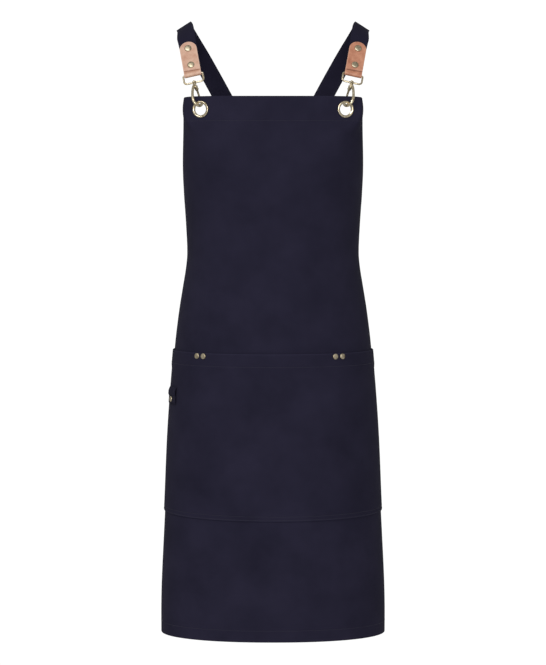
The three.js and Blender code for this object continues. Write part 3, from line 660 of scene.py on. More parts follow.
def make_panel():
    arcs, drops, side_inset = panel_grid()
    hems = ((side_inset, SIDE_HEM), (drops, TOP_HEM), (APRON_LENGTH - drops, BOTTOM_HEM))
    nearest = np.minimum(side_inset, to_edge(drops, APRON_LENGTH))
    groove = sum(grooves(inset, [hem - STITCH_INSET]) for inset, hem in hems) * off_the_edge(nearest)
    in_hem = 1 - np.prod([smooth_step((inset - hem) / HEM_STEP) for inset, hem in hems], axis=0)
    fold = fold_drop(nearest, CLOTH + HEM_EXTRA)
    z = hung(BIB_TOP - drops, arcs / edge_arc(BIB_TOP - drops))
    outer = lifted(arcs, z, -fold - groove * GROOVE_OUTSIDE)
    inner = lifted(arcs, z, -CLOTH - HEM_EXTRA * in_hem + fold + groove * GROOVE_INSIDE)
    return sheet_piece("panel_cloth", outer, inner, arcs, drops, navy_twill)


panel = make_panel()

# %% Cut the holes for the grommets
GROMMET_WALL, DRILL_PLAY, DRILL_LENGTH = 1, 0.1, 16
DRILL_RADIUS = GROMMET_HOLE + GROMMET_WALL + DRILL_PLAY


def along(place, axis, up=(0, 0, 1)):
    """A frame in metres whose Z is a given axis, at a place in millimetres."""
    z = Vector(axis).normalized()
    x = Vector(up).cross(z)
    x = x.normalized() if x.length > 1e-6 else Vector((1, 0, 0))
    turn = Matrix((x, z.cross(x), z)).transposed().to_4x4()
    return Matrix.Translation(Vector(place) * MM) @ turn


def boolean(piece, tool, operation):
    only(piece)
    modifier = piece.modifiers.new("paler_edge", "BOOLEAN")
    modifier.operation = operation
    modifier.solver = "EXACT"
    modifier.object = tool
    bpy.ops.object.modifier_apply(modifier=modifier.name)
    bpy.data.objects.remove(tool)


for place, normal in SEATS:
    deselect()
    bpy.ops.mesh.primitive_cylinder_add(vertices=64, radius=DRILL_RADIUS * MM, depth=DRILL_LENGTH * MM)
    drill = bpy.context.object
    drill.data.transform(along(place, normal))
    boolean(panel, drill, "DIFFERENCE")
panel.data.shade_smooth()
belongs(panel, "apron", "cloth", "apron_panel")
print("panel with holes has", len(panel.data.polygons), "faces")

# %% Stitches on the panel
LINE_END = 2
OUTSIDE, INSIDE = -0.12, 0.1 - CLOTH - HEM_EXTRA


def chalked(arcs, drops, samples):
    """Arcs and drops along a chalk line from corner to corner."""
    t, knots = np.linspace(0, 1, samples), np.linspace(0, 1, len(arcs))
    return np.interp(t, knots, arcs), np.interp(t, knots, drops)


def line(arcs, drops, height):
    """Points and normals along a line on the panel, at a height over its outer face."""
    arc, drop = chalked(arcs, drops, 400)
    points, normals = over_cloth(arc, hung(BIB_TOP - drop, arc / edge_arc(BIB_TOP - drop)), height)
    return points, normals if height > -CLOTH else -normals


def armhole_line(inset, side):
    drops = np.linspace(inset, APRON_LENGTH - LINE_END, 120)
    return side * (edge_arc(BIB_TOP - drops) - inset * slant(drops)), drops


half_bib, half_hem = BIB_WIDTH / 2 - LINE_END, APRON_WIDTH / 2 - LINE_END
hem_runs = []
for height in (OUTSIDE, INSIDE):
    for side in (-1, 1):
        hem_runs.append(line(*armhole_line(SIDE_HEM - STITCH_INSET, side), height))
    hem_runs.append(line([-half_bib, half_bib], [TOP_HEM - STITCH_INSET] * 2, height))
    hem_runs.append(line([-half_hem, half_hem], [APRON_LENGTH - BOTTOM_HEM + STITCH_INSET] * 2, height))
belongs(seam("panel_stitches", hem_runs), "apron", "cloth")

# %% [markdown]
# The pocket is a second sheet on the panel. Its top is a deep stitched band, its other edges are turned under
# and sewn down with two rows. Between the rivets the mouth stands a little off the panel, as a used one does.

# %% Pocket
POCKET_LIFT = LAYER_GAP + CLOTH
POCKET_TURN, POCKET_ROWS = 9, (2.0, 7.4)
POCKET_COLUMNS, POCKET_LINES = 100, 46
# The pocket's top and bottom folds are painted paler: a painted highlight that also lightens the shade under
# the folds.
BAND_STEP, FOLD_HIGHLIGHT_REACH, FOLD_HIGHLIGHT_SHARE = 9, 1.3, 0.1
BAND_ROW, THREAD_SINK = POCKET_BAND - STITCH_INSET, 0.1
MOUTH_SLACK, MOUTH_REACH = 1.4, 70
RIVET_ARCS = (-123.5, -111.5, 98.5, 111)
RIVET_DROP = 5


def pocket_z(arc, drop):
    """The height of a point of the pocket, whose lower edge sags in the middle."""
    sag = smooth_step(drop / POCKET_HEIGHT) * POCKET_SAG * (1 - (arc / (POCKET_WIDTH / 2)) ** 2)
    return BIB_TOP - POCKET_DROP - drop - sag


def mouth(arc, drop):
    left, right = RIVET_ARCS[1], RIVET_ARCS[2]
    along_mouth = np.clip((arc - left) / (right - left), 0, 1)
    return MOUTH_SLACK * np.sin(math.pi * along_mouth) ** 2 * (1 - smooth_step(drop / MOUTH_REACH))


def make_pocket():
    turned_in, top = insets_for(POCKET_TURN, POCKET_ROWS), insets_for(POCKET_BAND, [BAND_ROW])
    across = grid_lines(turned_in, turned_in, POCKET_WIDTH, POCKET_COLUMNS) - POCKET_WIDTH / 2
    arcs, drops = np.meshgrid(across, grid_lines(top, turned_in, POCKET_HEIGHT, POCKET_LINES))
    side_inset, end_inset = POCKET_WIDTH / 2 - np.abs(arcs), to_edge(drops, POCKET_HEIGHT)
    nearest = np.minimum(side_inset, end_inset)
    groove = (grooves(side_inset, POCKET_ROWS) + grooves(POCKET_HEIGHT - drops, POCKET_ROWS)
              + grooves(drops, [BAND_ROW])) * off_the_edge(nearest)
    thickness = CLOTH + BAND_EXTRA * (1 - smooth_step((drops - POCKET_BAND) / BAND_STEP))
    fold = fold_drop(nearest, thickness)
    z, base = pocket_z(arcs, drops), LAYER_GAP + mouth(arcs, drops)
    outer = lifted(arcs, z, base + thickness - fold - groove * GROOVE_OUTSIDE)
    inner = lifted(arcs, z, base + fold)
    # Painted highlight along the top and bottom folds.
    fold_highlight = FOLD_HIGHLIGHT_SHARE * np.exp(-(end_inset / FOLD_HIGHLIGHT_REACH) ** 2)
    piece = sheet_piece("pocket_cloth", outer, inner, arcs, POCKET_DROP + drops, navy_twill, fold_highlight)
    return belongs(piece, "apron", "cloth", "pocket")


def pocket_line(arcs, drops, extra=0.0):
    arc, drop = chalked(arcs, drops, 300)
    return over_cloth(arc, pocket_z(arc, drop), POCKET_LIFT + extra + mouth(arc, drop) - THREAD_SINK)


def pocket_seams():
    half = POCKET_WIDTH / 2
    runs = [pocket_line([-half + 3, half - 3], [BAND_ROW, BAND_ROW], BAND_EXTRA)]
    for row in POCKET_ROWS:
        for side in (-1, 1):
            runs.append(pocket_line([side * (half - row)] * 2, [POCKET_BAND + 2, POCKET_HEIGHT - row]))
        runs.append(pocket_line([-half + row, half - row], [POCKET_HEIGHT - row] * 2))
    belongs(seam("pocket_stitches", runs), "apron", "cloth")


pocket = make_pocket()
pocket_seams()

# %% [markdown]
# The side loop is a short strip of the same cloth. It is sewn down at its top, bows off the pocket so that a
# towel's corner or a pen goes behind it, and a rivet holds its lower end.

# %% Side loop
LOOP_FROM_EDGE, LOOP_WIDTH, LOOP_HEIGHT, LOOP_DROP = 80, 28, 26, 57.5
LOOP_CLOTH, LOOP_STAND, LOOP_RIVET_UP, LOOP_ROW = 1.6, 2.2, 7, 3
LOOP_TOP_ROWS = (2.2, 4.4)
LOOP_SHAPE = ((0, 0), (0.1, 0.5), (0.24, 1), (0.46, 1), (0.55, 0.4), (0.91, 0.4), (1, 0.25))
LOOP_ARC = LOOP_FROM_EDGE - POCKET_WIDTH / 2
LOOP_TOP = BIB_TOP - POCKET_DROP - LOOP_DROP
LOOP_BASE = POCKET_LIFT + LAYER_GAP


def loop_stand(down):
    rows = np.array(LOOP_SHAPE)
    fine = np.linspace(0, 1, 200)
    stand = np.interp(fine, rows[:, 0], rows[:, 1])
    blur = np.exp(-np.linspace(-2, 2, 17) ** 2)
    stand = np.convolve(np.pad(stand, 8, mode="edge"), blur / blur.sum(), mode="valid")
    return np.interp(down, fine, stand) * LOOP_STAND


def make_side_loop():
    across, down = np.meshgrid(grid_lines(FOLD_INSETS, FOLD_INSETS, LOOP_WIDTH, 16),
                               grid_lines(FOLD_INSETS, FOLD_INSETS, LOOP_HEIGHT, 30))
    from_side = to_edge(across, LOOP_WIDTH)
    nearest = np.minimum(from_side, to_edge(down, LOOP_HEIGHT))
    fold = fold_drop(nearest, LOOP_CLOTH)
    groove = grooves(from_side, [LOOP_ROW]) * off_the_edge(nearest)
    arcs, z = LOOP_ARC - LOOP_WIDTH / 2 + across, LOOP_TOP - down
    base = LOOP_BASE + loop_stand(down / LOOP_HEIGHT)
    outer = lifted(arcs, z, base + LOOP_CLOTH - fold - groove * GROOVE_INSIDE)
    inner = lifted(arcs, z, base + fold)
    piece = sheet_piece("side_loop_cloth", outer, inner, arcs, -z, navy_strap)
    return belongs(piece, "apron", "webbing", "side_loop")


def side_loop_seams():
    reach = LOOP_WIDTH / 2 - LOOP_ROW
    down = np.linspace(2, LOOP_HEIGHT - 2, 60)
    height = LOOP_BASE + loop_stand(down / LOOP_HEIGHT) + LOOP_CLOTH - THREAD_SINK
    runs = [over_cloth(LOOP_ARC + side * reach + 0 * down, LOOP_TOP - down, height) for side in (-1, 1)]
    across = np.linspace(LOOP_ARC - reach, LOOP_ARC + reach, 30)
    for row in LOOP_TOP_ROWS:
        runs.append(over_cloth(across, LOOP_TOP - row, LOOP_BASE + LOOP_CLOTH + THREAD_SINK))
    belongs(seam("side_loop_stitches", runs), "apron", "webbing")


side_loop = make_side_loop()
side_loop_seams()

# %% [markdown]
# Each hook hangs from its strap and pulls on the grommet, so hook, loop and tab lie on one line from the
# grommet's hole to the shoulder. From it come two frames: the hook's, turned half sideways, and the tab's,
# which faces the front. The right side is the mirror image of the left.

# %% Frames of the hardware
HOOK_LENGTH, HOOK_RADIUS, HOOK_WIRE = 41.5, 9, 2.1
HOOK_YAW, TAB_YAW = 48, 3
WIRE_OUT, WIRE_UP, WIRE_PAST = 2, 5.8, 2.5
SHOULDER_FRONT = np.array([-0.7675 * HEM_HALF_WIDTH, -0.38 * BACK_DEPTH, -0.0165 * APRON_LENGTH])


def square_to(v, axis):
    return unit(v - axis * np.sum(v * axis, axis=-1, keepdims=True))


def frame_of(x, y, z, place):
    matrix = np.eye(4)
    matrix[:3, 0], matrix[:3, 1], matrix[:3, 2], matrix[:3, 3] = x, y, z, place
    return matrix


def hardware_frames():
    place, normal = SEATS[0]
    up = square_to(np.array([0.0, 0, 1]), normal)
    inward = np.cross(up, normal)
    turned = np.array([math.cos(math.radians(HOOK_YAW)), math.sin(math.radians(HOOK_YAW)), 0])
    low = place - inward * WIRE_OUT + up * WIRE_UP - normal * CLOTH / 2 - turned * WIRE_PAST
    pull = unit(SHOULDER_FRONT - low)
    eye = low + pull * HOOK_LENGTH
    across = square_to(turned, pull)
    hook = frame_of(across, -pull, np.cross(across, -pull), eye)
    face = square_to(FORWARD, pull)
    yaw = -math.radians(TAB_YAW)
    face = face * math.cos(yaw) + np.cross(pull, face) * math.sin(yaw)
    return hook, frame_of(np.cross(pull, face), pull, face, eye)


HOOK_FRAME, TAB_FRAME = hardware_frames()
print("hooks hang from", np.round(HOOK_FRAME[:3, 3], 1).tolist())

# %% [markdown]
# The straps are doubled cloth, 30 mm wide. Each runs from its tab over the shoulder, crosses the other on the
# back and is sewn to the panel's corner. Its middle line is a smooth curve through a few places, and its
# face turns from the front to the back on the way. The strap that ends on the left passes under the other.

# %% Straps
TAB_WIDTH, LEATHER, TAB_LENGTH, TAB_END_RADIUS = 26.8, 1.8, 58.5, 13.6
LOOP_BAR_HEIGHT, STRAP_START, TAB_RIVETS = 15, 11.6, (16, 46.4)
STRAP_WIDTH, STRAP_CLOTH, CROSSING_GAP, FOOT_GAP = 30, 1.6, 1.4, 0.9
FOOT_FROM_EDGE, FOOT_ABOVE, FOOT_ANGLE, FOOT_LENGTH = 9, 6, 30, 38
STRAP_ROW, OPEN_CLOTH = 3.2, 6
FOOT_MIDDLE = FOOT_GAP + STRAP_CLOTH / 2
TAB_STEPS, PATH_STEPS, FOOT_STEPS = 12, 200, 20
BLEND_PASSES, BLEND_BEFORE, BLEND_AFTER = 30, 12, 6
TAB_STOPS = ((-12, 0), (2, 1.5), (9, 2.4))
UNDER_FROM, UNDER_STEP = 0.6, 0.3
BOX_INSET, BOX_TOP, BOX_LOW = 1.5, 8, FOOT_LENGTH - 3
# Shares across, back and down, the share of the width, then the face's lean and turn in degrees
STRAP_RUN = (
    (-0.772, -0.2, 0.0078, 0.93, 27, 66),
    (-0.788, 0, 0.0026, 0.9, 33, 90),
    (-0.778, 0.19, 0.008, 0.87, 33, 112),
    (-0.738, 0.4, 0.0245, 0.91, 29, 132),
    (-0.637, 0.66, 0.062, 0.97, 22, 152),
    (-0.46, 0.88, 0.13, 1, 14, 167),
    (-0.25, 1.02, 0.215, 1, 6, 176),
    (0, 1.09, 0.308, 1, 0, 180),
    (0.22, 1.03, 0.386, 1, -12, 180),
)


def curve_through(points, t):
    """Places at shares t along a centripetal Catmull-Rom curve."""
    points = np.asarray(points, float)
    last = len(points) - 1
    padded = np.concatenate([[2 * points[0] - points[1]], points, [2 * points[-1] - points[-2]]])
    where = np.clip(np.asarray(t) * last, 0, last)
    i = np.minimum(where.astype(int), last - 1)
    w = (where - i)[:, None]
    p0, p1, p2, p3 = padded[i], padded[i + 1], padded[i + 2], padded[i + 3]
    gaps = [np.sum((b - a) ** 2, axis=1, keepdims=True) ** 0.25 for a, b in ((p0, p1), (p1, p2), (p2, p3))]
    d1 = np.where(gaps[1] < 1e-4, 1.0, gaps[1])
    d0, d2 = np.where(gaps[0] < 1e-4, d1, gaps[0]), np.where(gaps[2] < 1e-4, d1, gaps[2])
    t1 = ((p1 - p0) / d0 - (p2 - p0) / (d0 + d1) + (p2 - p1) / d1) * d1
    t2 = ((p2 - p1) / d1 - (p3 - p1) / (d1 + d2) + (p3 - p2) / d2) * d1
    return p1 + t1 * w + (-3 * p1 + 3 * p2 - 2 * t1 - t2) * w**2 + (2 * p1 - 2 * p2 + t1 + t2) * w**3


def foot_point(across, length, height):
    over, down = math.sin(math.radians(FOOT_ANGLE)), math.cos(math.radians(FOOT_ANGLE))
    arc = APRON_WIDTH / 2 - FOOT_FROM_EDGE - length * over + across * down
    z = BIB_TOP - BIB_HEIGHT + FOOT_ABOVE - length * down - across * over
    return lifted(arc, z, height + 0 * arc)


def strap_stops(under):
    """Places, outward directions and widths along the strap, from its tab to its foot."""
    pull, face = TAB_FRAME[:3, 1], TAB_FRAME[:3, 2]
    stops = [(TAB_FRAME[:3, 3] + pull * (LOOP_BAR_HEIGHT + TAB_LENGTH + past), face, [TAB_WIDTH + wider])
             for past, wider in TAB_STOPS]
    for across, back, drop, width, lean, turn in STRAP_RUN:
        lean, turn = math.radians(lean), math.radians(turn)
        middle = np.array([across * HEM_HALF_WIDTH, back * BACK_DEPTH, -drop * APRON_LENGTH])
        middle[1] -= under * smooth_step((back - UNDER_FROM) / UNDER_STEP)
        outward = np.array([-math.sin(lean), -math.cos(turn), math.sin(turn) * math.cos(lean)])
        stops.append((middle, unit(outward), [width * STRAP_WIDTH]))
    on_foot = foot_point(np.array(0.0), 0, FOOT_MIDDLE)
    out = unit(foot_point(np.array(0.0), 0, float(STRAP_WIDTH)) - on_foot)
    return stops + [(on_foot, out, [STRAP_WIDTH])]


def strap_rows(under, shares):
    """The strap's middle surface: rows along its length, columns at shares of its width."""
    stops, t = strap_stops(under), np.linspace(0, 1, PATH_STEPS)
    path, faces, widths = (curve_through([stop[k] for stop in stops], t) for k in range(3))
    start = TAB_FRAME[:3, 3] + TAB_FRAME[:3, 1] * (LOOP_BAR_HEIGHT + STRAP_START)
    in_tab = np.linspace(0, 1, TAB_STEPS)[:-1, None]
    path = np.concatenate([start + (path[0] - start) * in_tab, path])
    faces = np.concatenate([TAB_FRAME[:3, 2] + 0 * in_tab, faces])
    widths = np.concatenate([TAB_WIDTH + 0 * in_tab, widths])
    tangent = unit(np.gradient(path, axis=0))
    across = unit(np.cross(square_to(faces, tangent), tangent))
    rows = path[:, None] + across[:, None] * (shares[None, :, None] * widths[:, None])
    foot = [foot_point(shares * STRAP_WIDTH, down, FOOT_MIDDLE)
            for down in np.linspace(0, FOOT_LENGTH, FOOT_STEPS)]
    rows = np.concatenate([rows[:-3], foot])
    first, last = len(rows) - FOOT_STEPS - 1 - BLEND_BEFORE, len(rows) - FOOT_STEPS - 1 + BLEND_AFTER
    for _ in range(BLEND_PASSES):
        rows[first:last] = (rows[first - 1:last - 1] + 2 * rows[first:last] + rows[first + 1:last + 1]) / 4
    return rows


def respaced(rows):
    """The same rows at an even spacing, closer at both ends, with their distances along the strap."""
    length = walked(rows[:, rows.shape[1] // 2])
    places = grid_lines(FOLD_INSETS, FOLD_INSETS, length[-1], int(length[-1] / COARSE_STEP))
    flat = sampled(rows.reshape(len(rows), -1), length, places)
    return flat.reshape(len(places), rows.shape[1], 3), places


def strap_surface(under):
    insets = sorted({*FOLD_INSETS, STRAP_ROW - 0.6, STRAP_ROW, STRAP_ROW + 0.6, STRAP_ROW + 1.4, OPEN_CLOTH})
    columns = grid_lines(insets, insets, STRAP_WIDTH, 5)
    rows, places = respaced(strap_rows(under, columns / STRAP_WIDTH - 0.5))
    normals = unit(np.cross(np.gradient(rows, axis=0), np.gradient(rows, axis=1)))
    return rows, normals, columns, places


def make_strap(side):
    """The right strap is drawn as a left one and mirrored. It lies deeper where they cross."""
    name = "strap_left" if side < 0 else "strap_right"
    rows, normals, columns, places = strap_surface(STRAP_CLOTH + CROSSING_GAP if side > 0 else 0)
    from_side = to_edge(columns, STRAP_WIDTH)
    nearest = np.minimum(from_side, to_edge(places, places[-1])[:, None])
    groove = grooves(from_side, [STRAP_ROW]) * off_the_edge(nearest)
    height = (STRAP_CLOTH / 2 - fold_drop(nearest, STRAP_CLOTH) - groove * GROOVE_INSIDE)[..., None]
    mirror = np.array([-float(side), 1, 1])
    outer, inner = (rows - normals * height) * mirror, (rows + normals * height) * mirror
    piece = sheet_piece(name + "_cloth", outer, inner, columns, places[:, None], navy_strap)
    weld(piece, recalculate=True)
    belongs(piece, "apron", "webbing", name)
    piece["flat_length"] = round(float(places[-1]) * MM, 3)
    runs = []
    out_of_tab = places > STRAP_START + TAB_LENGTH
    above_foot = places < places[-1] - FOOT_LENGTH - COARSE_STEP
    for inset in (STRAP_ROW, STRAP_WIDTH - STRAP_ROW):
        k = int(np.argmin(np.abs(columns - inset)))
        for face, shown in ((-1, out_of_tab), (1, out_of_tab & above_foot)):
            n = normals[shown, k] * face
            runs.append(((rows[shown, k] + n * (STRAP_CLOTH / 2 - THREAD_SINK)) * mirror, n * mirror))
    runs += box_and_cross(mirror)
    belongs(seam(name + "_stitches", runs), "apron", "webbing")
    return piece


def box_and_cross(mirror):
    """The square with a cross in it that holds the strap's foot on the panel."""
    half, top, low = STRAP_WIDTH / 2 - STRAP_ROW - BOX_INSET, BOX_TOP, BOX_LOW
    corners = [(-half, top), (half, top), (half, low), (-half, low), (-half, top), (half, low)]
    runs = []
    for a, b in [*zip(corners, corners[1:]), ((half, top), (-half, low))]:
        t = np.linspace(0, 1, 20)
        across, length = a[0] + (b[0] - a[0]) * t, a[1] + (b[1] - a[1]) * t
        top_face = foot_point(across, length, FOOT_GAP + STRAP_CLOTH - THREAD_SINK / 2)
        above = foot_point(across, length, FOOT_GAP + STRAP_CLOTH + 5)
        runs.append((top_face * mirror, unit(above - top_face) * mirror))
    return runs


straps = [make_strap(side) for side in (-1, 1)]

# %% [markdown]
# Rivets and grommets are turned parts. Each is drawn as half an outline and spun about its own axis, which
# gives a smooth dome and a rolled edge. A rivet shows a broad cap in front and a small one behind.

# %% Rivets and grommets
CAP_RADIUS, TAB_CAP_RADIUS, CAP_HEIGHT, CAP_EDGE, SHANK = 4.5, 5.5, 1.8, 0.35, 1.4
BACK_CAP_SHARE, BACK_CAP_HEIGHT = 0.8, 0.8
ROLL_FOOT, ROLL_HEIGHT = 0.45, 1.9
SHARP = 35


def named(name, material):
    """The object just made, under its own name and with its material."""
    piece = bpy.context.object
    piece.name = piece.data.name = name
    piece.data.materials.append(material)
    return piece


def turned(name, outline, material, sides=48, ring=False):
    """Extrude a circle along an outline of (radius, height) points in millimetres, as a lathe cuts it."""
    deselect()
    radius, height = outline[0]
    bpy.ops.mesh.primitive_circle_add(vertices=sides, radius=radius * MM, location=(0, 0, height * MM),
                                      fill_type="NOTHING" if ring else "NGON")
    piece = named(name, material)
    bpy.ops.object.transform_apply(location=True)
    with all_of_it_in_edit_mode(piece):
        for next_radius, next_height in outline[1:]:
            rise, grow = (next_height - height) * MM, next_radius / radius
            bpy.ops.mesh.extrude_region_move(TRANSFORM_OT_translate={"value": (0, 0, rise)})
            bpy.ops.transform.resize(value=(grow, grow, 1), center_override=(0, 0, next_height * MM))
            radius, height = next_radius, next_height
        bpy.ops.mesh.select_all(action="SELECT")
        bpy.ops.mesh.remove_doubles(threshold=WELD_TURNED)
        bpy.ops.mesh.normals_make_consistent(inside=False)
    return piece


def smoothed(piece, angle=40):
    only(piece)
    bpy.ops.object.shade_smooth_by_angle(angle=math.radians(angle))
    return piece


def corner(middle, radius, start, end, steps=6):
    """Points of a rounded corner of an outline, with angles in degrees from the outline's first axis."""
    angles = np.radians(np.linspace(start, end, steps))
    return [(middle[0] + radius * math.cos(a), middle[1] + radius * math.sin(a)) for a in angles]


def rivet(name, grip, cap=CAP_RADIUS):
    back, low = BACK_CAP_SHARE * cap, -grip - SEAT_GAP
    behind = low - BACK_CAP_HEIGHT
    outline = [(0.4, behind), (back - 0.9, behind), *corner((back - 0.5, behind + 0.4), 0.4, -90, 0, 4)]
    outline += [(back - 0.1, low), (SHANK, low), (SHANK, SEAT_GAP)]
    outline += [(cap - 0.15, SEAT_GAP), (cap, SEAT_GAP + 0.12), (cap, SEAT_GAP + 0.3)]
    rise = CAP_HEIGHT - CAP_EDGE
    outline += [(max(0.12, (cap - 0.05) * math.cos(a)), SEAT_GAP + CAP_EDGE + rise * math.sin(a) ** 0.85)
                for a in np.radians(np.linspace(4, 89, 11))]
    return smoothed(turned(name, outline, dark_brass, 40))


def place_rivet(node, grip, place, axis):
    piece = rivet(node + "_brass", grip)
    piece.data.transform(along(place, axis))
    belongs(piece, "apron", "dark_brass", node)


BAND_TOP = POCKET_LIFT + BAND_EXTRA
rivet_z = BIB_TOP - POCKET_DROP - RIVET_DROP
for number, arc in enumerate(RIVET_ARCS, 1):
    place_rivet(f"pocket_rivet_{number}", BAND_TOP + CLOTH, *over_cloth(arc, rivet_z, BAND_TOP))
loop_rivet_z = LOOP_TOP - LOOP_HEIGHT + LOOP_RIVET_UP
loop_face = LOOP_BASE + LOOP_CLOTH + float(loop_stand(1 - LOOP_RIVET_UP / LOOP_HEIGHT))
place_rivet("side_loop_rivet", loop_face + CLOTH, *over_cloth(LOOP_ARC, loop_rivet_z, loop_face))


def grommet(name):
    """A ring with a lip behind the cloth, a wall through it and a round roll in front."""
    under, wall = -CLOTH - HEM_EXTRA - 0.1, GROMMET_HOLE + GROMMET_WALL
    lip = GROMMET_FLANGE - 1.4
    outline = [(GROMMET_HOLE, under - 0.5), (GROMMET_HOLE + 0.3, under - 0.8)]
    outline += [(GROMMET_HOLE + 1.2, under - 0.9), (lip, under - 0.5), (lip + 0.3, under - 0.2)]
    outline += [(lip, under), (wall, under), (wall, SEAT_GAP)]
    outline += [(GROMMET_FLANGE - 0.2, SEAT_GAP), (GROMMET_FLANGE, SEAT_GAP + 0.25)]
    for share in np.linspace(0.06, 1, 14):
        lift = max(0, math.sin(math.pi * (0.06 + 0.9 * share) ** 0.8))
        radius = GROMMET_FLANGE - share * (GROMMET_FLANGE - GROMMET_HOLE)
        outline.append((radius, SEAT_GAP + ROLL_FOOT + (ROLL_HEIGHT - ROLL_FOOT) * lift))
    outline.append(outline[0])
    return smoothed(turned(name, outline, pale_brass, 72, ring=True), SHARP)


for (place, normal), side in zip(SEATS, ("left", "right")):
    piece = grommet(f"grommet_{side}_brass")
    piece.data.transform(along(place, normal))
    belongs(piece, "apron", "antique_brass", f"grommet_{side}")
print("rivets and grommets done")

# %% [markdown]
# A hook's wire is a swept round bar: a curve through its middle line, given thickness and turned into a mesh.
# Stem, collar and the two ears for the gate's pin are turned or bevelled pieces, fused with the bar, because
# the real hook is one casting. The gate is a flat lever with rounded edges that closes on the hook's tip.

# %% Hooks and gates
STEM_COLLAR, EAR_RADIUS, EAR_WALL = 2.8, 2.1, 0.9
PIN_RADIUS, PIN_RUN = 0.8, 0.3
GATE_PIVOT, GATE_TIP = (3, 11), (5.9, 31)
GATE_HUB, GATE_THICK, GATE_HALF = 1.9, 2.2, 1
HOOK_LEG = ((-0.1, 0.13), (-0.47, 0.3), (-0.84, 0.6), (-1, 0.86))
HOOK_TIP = (1.04, 0.88)
HOOK_GIRTH = (0.98, 1.02, 1.1, 1.14, 1.1, 1.0)
LOOP_WIRE, LOOP_PLAY, LOW_CORNER, TOP_CORNER = 1.45, 0.5, 4.6, 2.1
EYE_RADIUS, EYE_HALF, EYE_BORE, EYE_EDGE = 3.3, 1.6, 2, 0.35
STEM_HEAD = ((0.35, 0.58), (0.62, 0.48), (0.82, 0.28), (0.9, 0.1), (0.84, 0))
UPWARD, SIDEWAYS = (0, 1, 0), (0, 0, 1)
BAR_STEPS, GATE_EDGE = 90, 0.45


def as_matrix(frame_mm):
    scaled = frame_mm.copy()
    scaled[:3, 3] *= MM
    return Matrix(scaled.tolist())


def bar_along(name, points, radius, closed=False, girth=None):
    """A round bar through points in millimetres, as a mesh. girth scales its radius at each point."""
    curve = bpy.data.curves.new(name, "CURVE")
    curve.dimensions = "3D"
    curve.bevel_depth = radius * MM
    curve.bevel_resolution = 5
    curve.use_fill_caps = not closed
    spline = curve.splines.new("POLY")
    spline.points.add(len(points) - 1)
    for point, place in zip(spline.points, points):
        point.co = (*(c * MM for c in place), 1)
    if girth is not None:
        spline.points.foreach_set("radius", girth)
    spline.use_cyclic_u = closed
    only(linked(name, curve))
    bpy.ops.object.convert(target="MESH")
    piece = named(name, pale_brass)
    weld(piece, recalculate=True)
    return piece


def lying(piece, place, axis):
    """Turns a piece drawn along Z so that it lies along an axis of the hook's frame."""
    turn = Vector((0, 0, 1)).rotation_difference(Vector(axis)).to_matrix().to_4x4()
    piece.data.transform(Matrix.Translation(Vector(place) * MM) @ turn)
    return piece


def pin(name, radius, length, place=(0, 0), edge=0.2, material=pale_brass, axis=SIDEWAYS):
    """A cylinder with eased edges, across the hook's plane if no other axis is given."""
    half = length / 2
    outline = [(radius - edge, -half), (radius, -half + edge), (radius, half - edge), (radius - edge, half)]
    return lying(turned(name, outline, material, 32), (*place, 0), axis)


def block(name, size, place, bevel):
    """A box with rounded edges, made at its size and place in millimetres."""
    deselect()
    bpy.ops.mesh.primitive_cube_add(size=1, location=Vector(place) * MM, scale=Vector(size) * MM)
    piece = named(name, pale_brass)
    bpy.ops.object.transform_apply(location=True, scale=True)
    with all_of_it_in_edit_mode(piece):
        bpy.ops.mesh.bevel(offset=bevel * MM, segments=3, affect="EDGES")
    return piece


def stem(name, bend):
    """The swivel: a round head over the loop's eye, a neck through it, a collar and a taper."""
    neck, seat, collar = EYE_BORE - SEAT_GAP, EYE_HALF + SEAT_GAP, STEM_COLLAR
    outline = [(0.3, -seat - 0.6 * collar)]
    outline += [(across * collar, -seat - above * collar) for across, above in STEM_HEAD]
    outline += [(neck, -seat), (neck, seat), (collar - 0.25, seat), (collar, seat + 0.25),
                (collar, seat + 0.45 * collar)]
    outline += [(0.94 * collar, 0.15 * bend), (0.78 * collar, 0.2 * bend), (0.3, 0.24 * bend)]
    return lying(turned(name, outline, pale_brass, 40), (0, 0, 0), UPWARD)


def hook(name):
    bend = HOOK_LENGTH - HOOK_RADIUS
    curl = [(math.cos(a), 1 + HOOK_RADIUS / bend * math.sin(a)) for a in np.radians(np.arange(180, -1, -30))]
    knots = [(u * HOOK_RADIUS, w * bend, 0) for u, w in (*HOOK_LEG, *curl, HOOK_TIP)]
    t = np.linspace(0, 1, BAR_STEPS)
    girth = np.interp(t, np.linspace(0, 1, len(HOOK_GIRTH)), HOOK_GIRTH)
    body = bar_along(name, curve_through(knots, t), HOOK_WIRE, girth=girth)
    slot = GATE_THICK + 2 * PIN_RUN
    across = slot + 2 * EAR_WALL
    u, w = GATE_PIVOT
    bridge = block(name + "_bridge", (u + EAR_RADIUS, 2.6 * EAR_RADIUS, across),
                   (u / 2, w - 1.5 * EAR_RADIUS, 0), 0.5)
    for part in (stem(name + "_stem", bend), bridge, pin(name + "_ears", EAR_RADIUS, across, GATE_PIVOT)):
        boolean(body, part, "UNION")
    boolean(body, pin(name + "_room", EAR_RADIUS + 2 * PIN_RUN, slot, GATE_PIVOT, 0.01), "DIFFERENCE")
    boolean(body, pin(name + "_pin", PIN_RADIUS, across + 0.5, GATE_PIVOT), "UNION")
    return smoothed(body, SHARP)


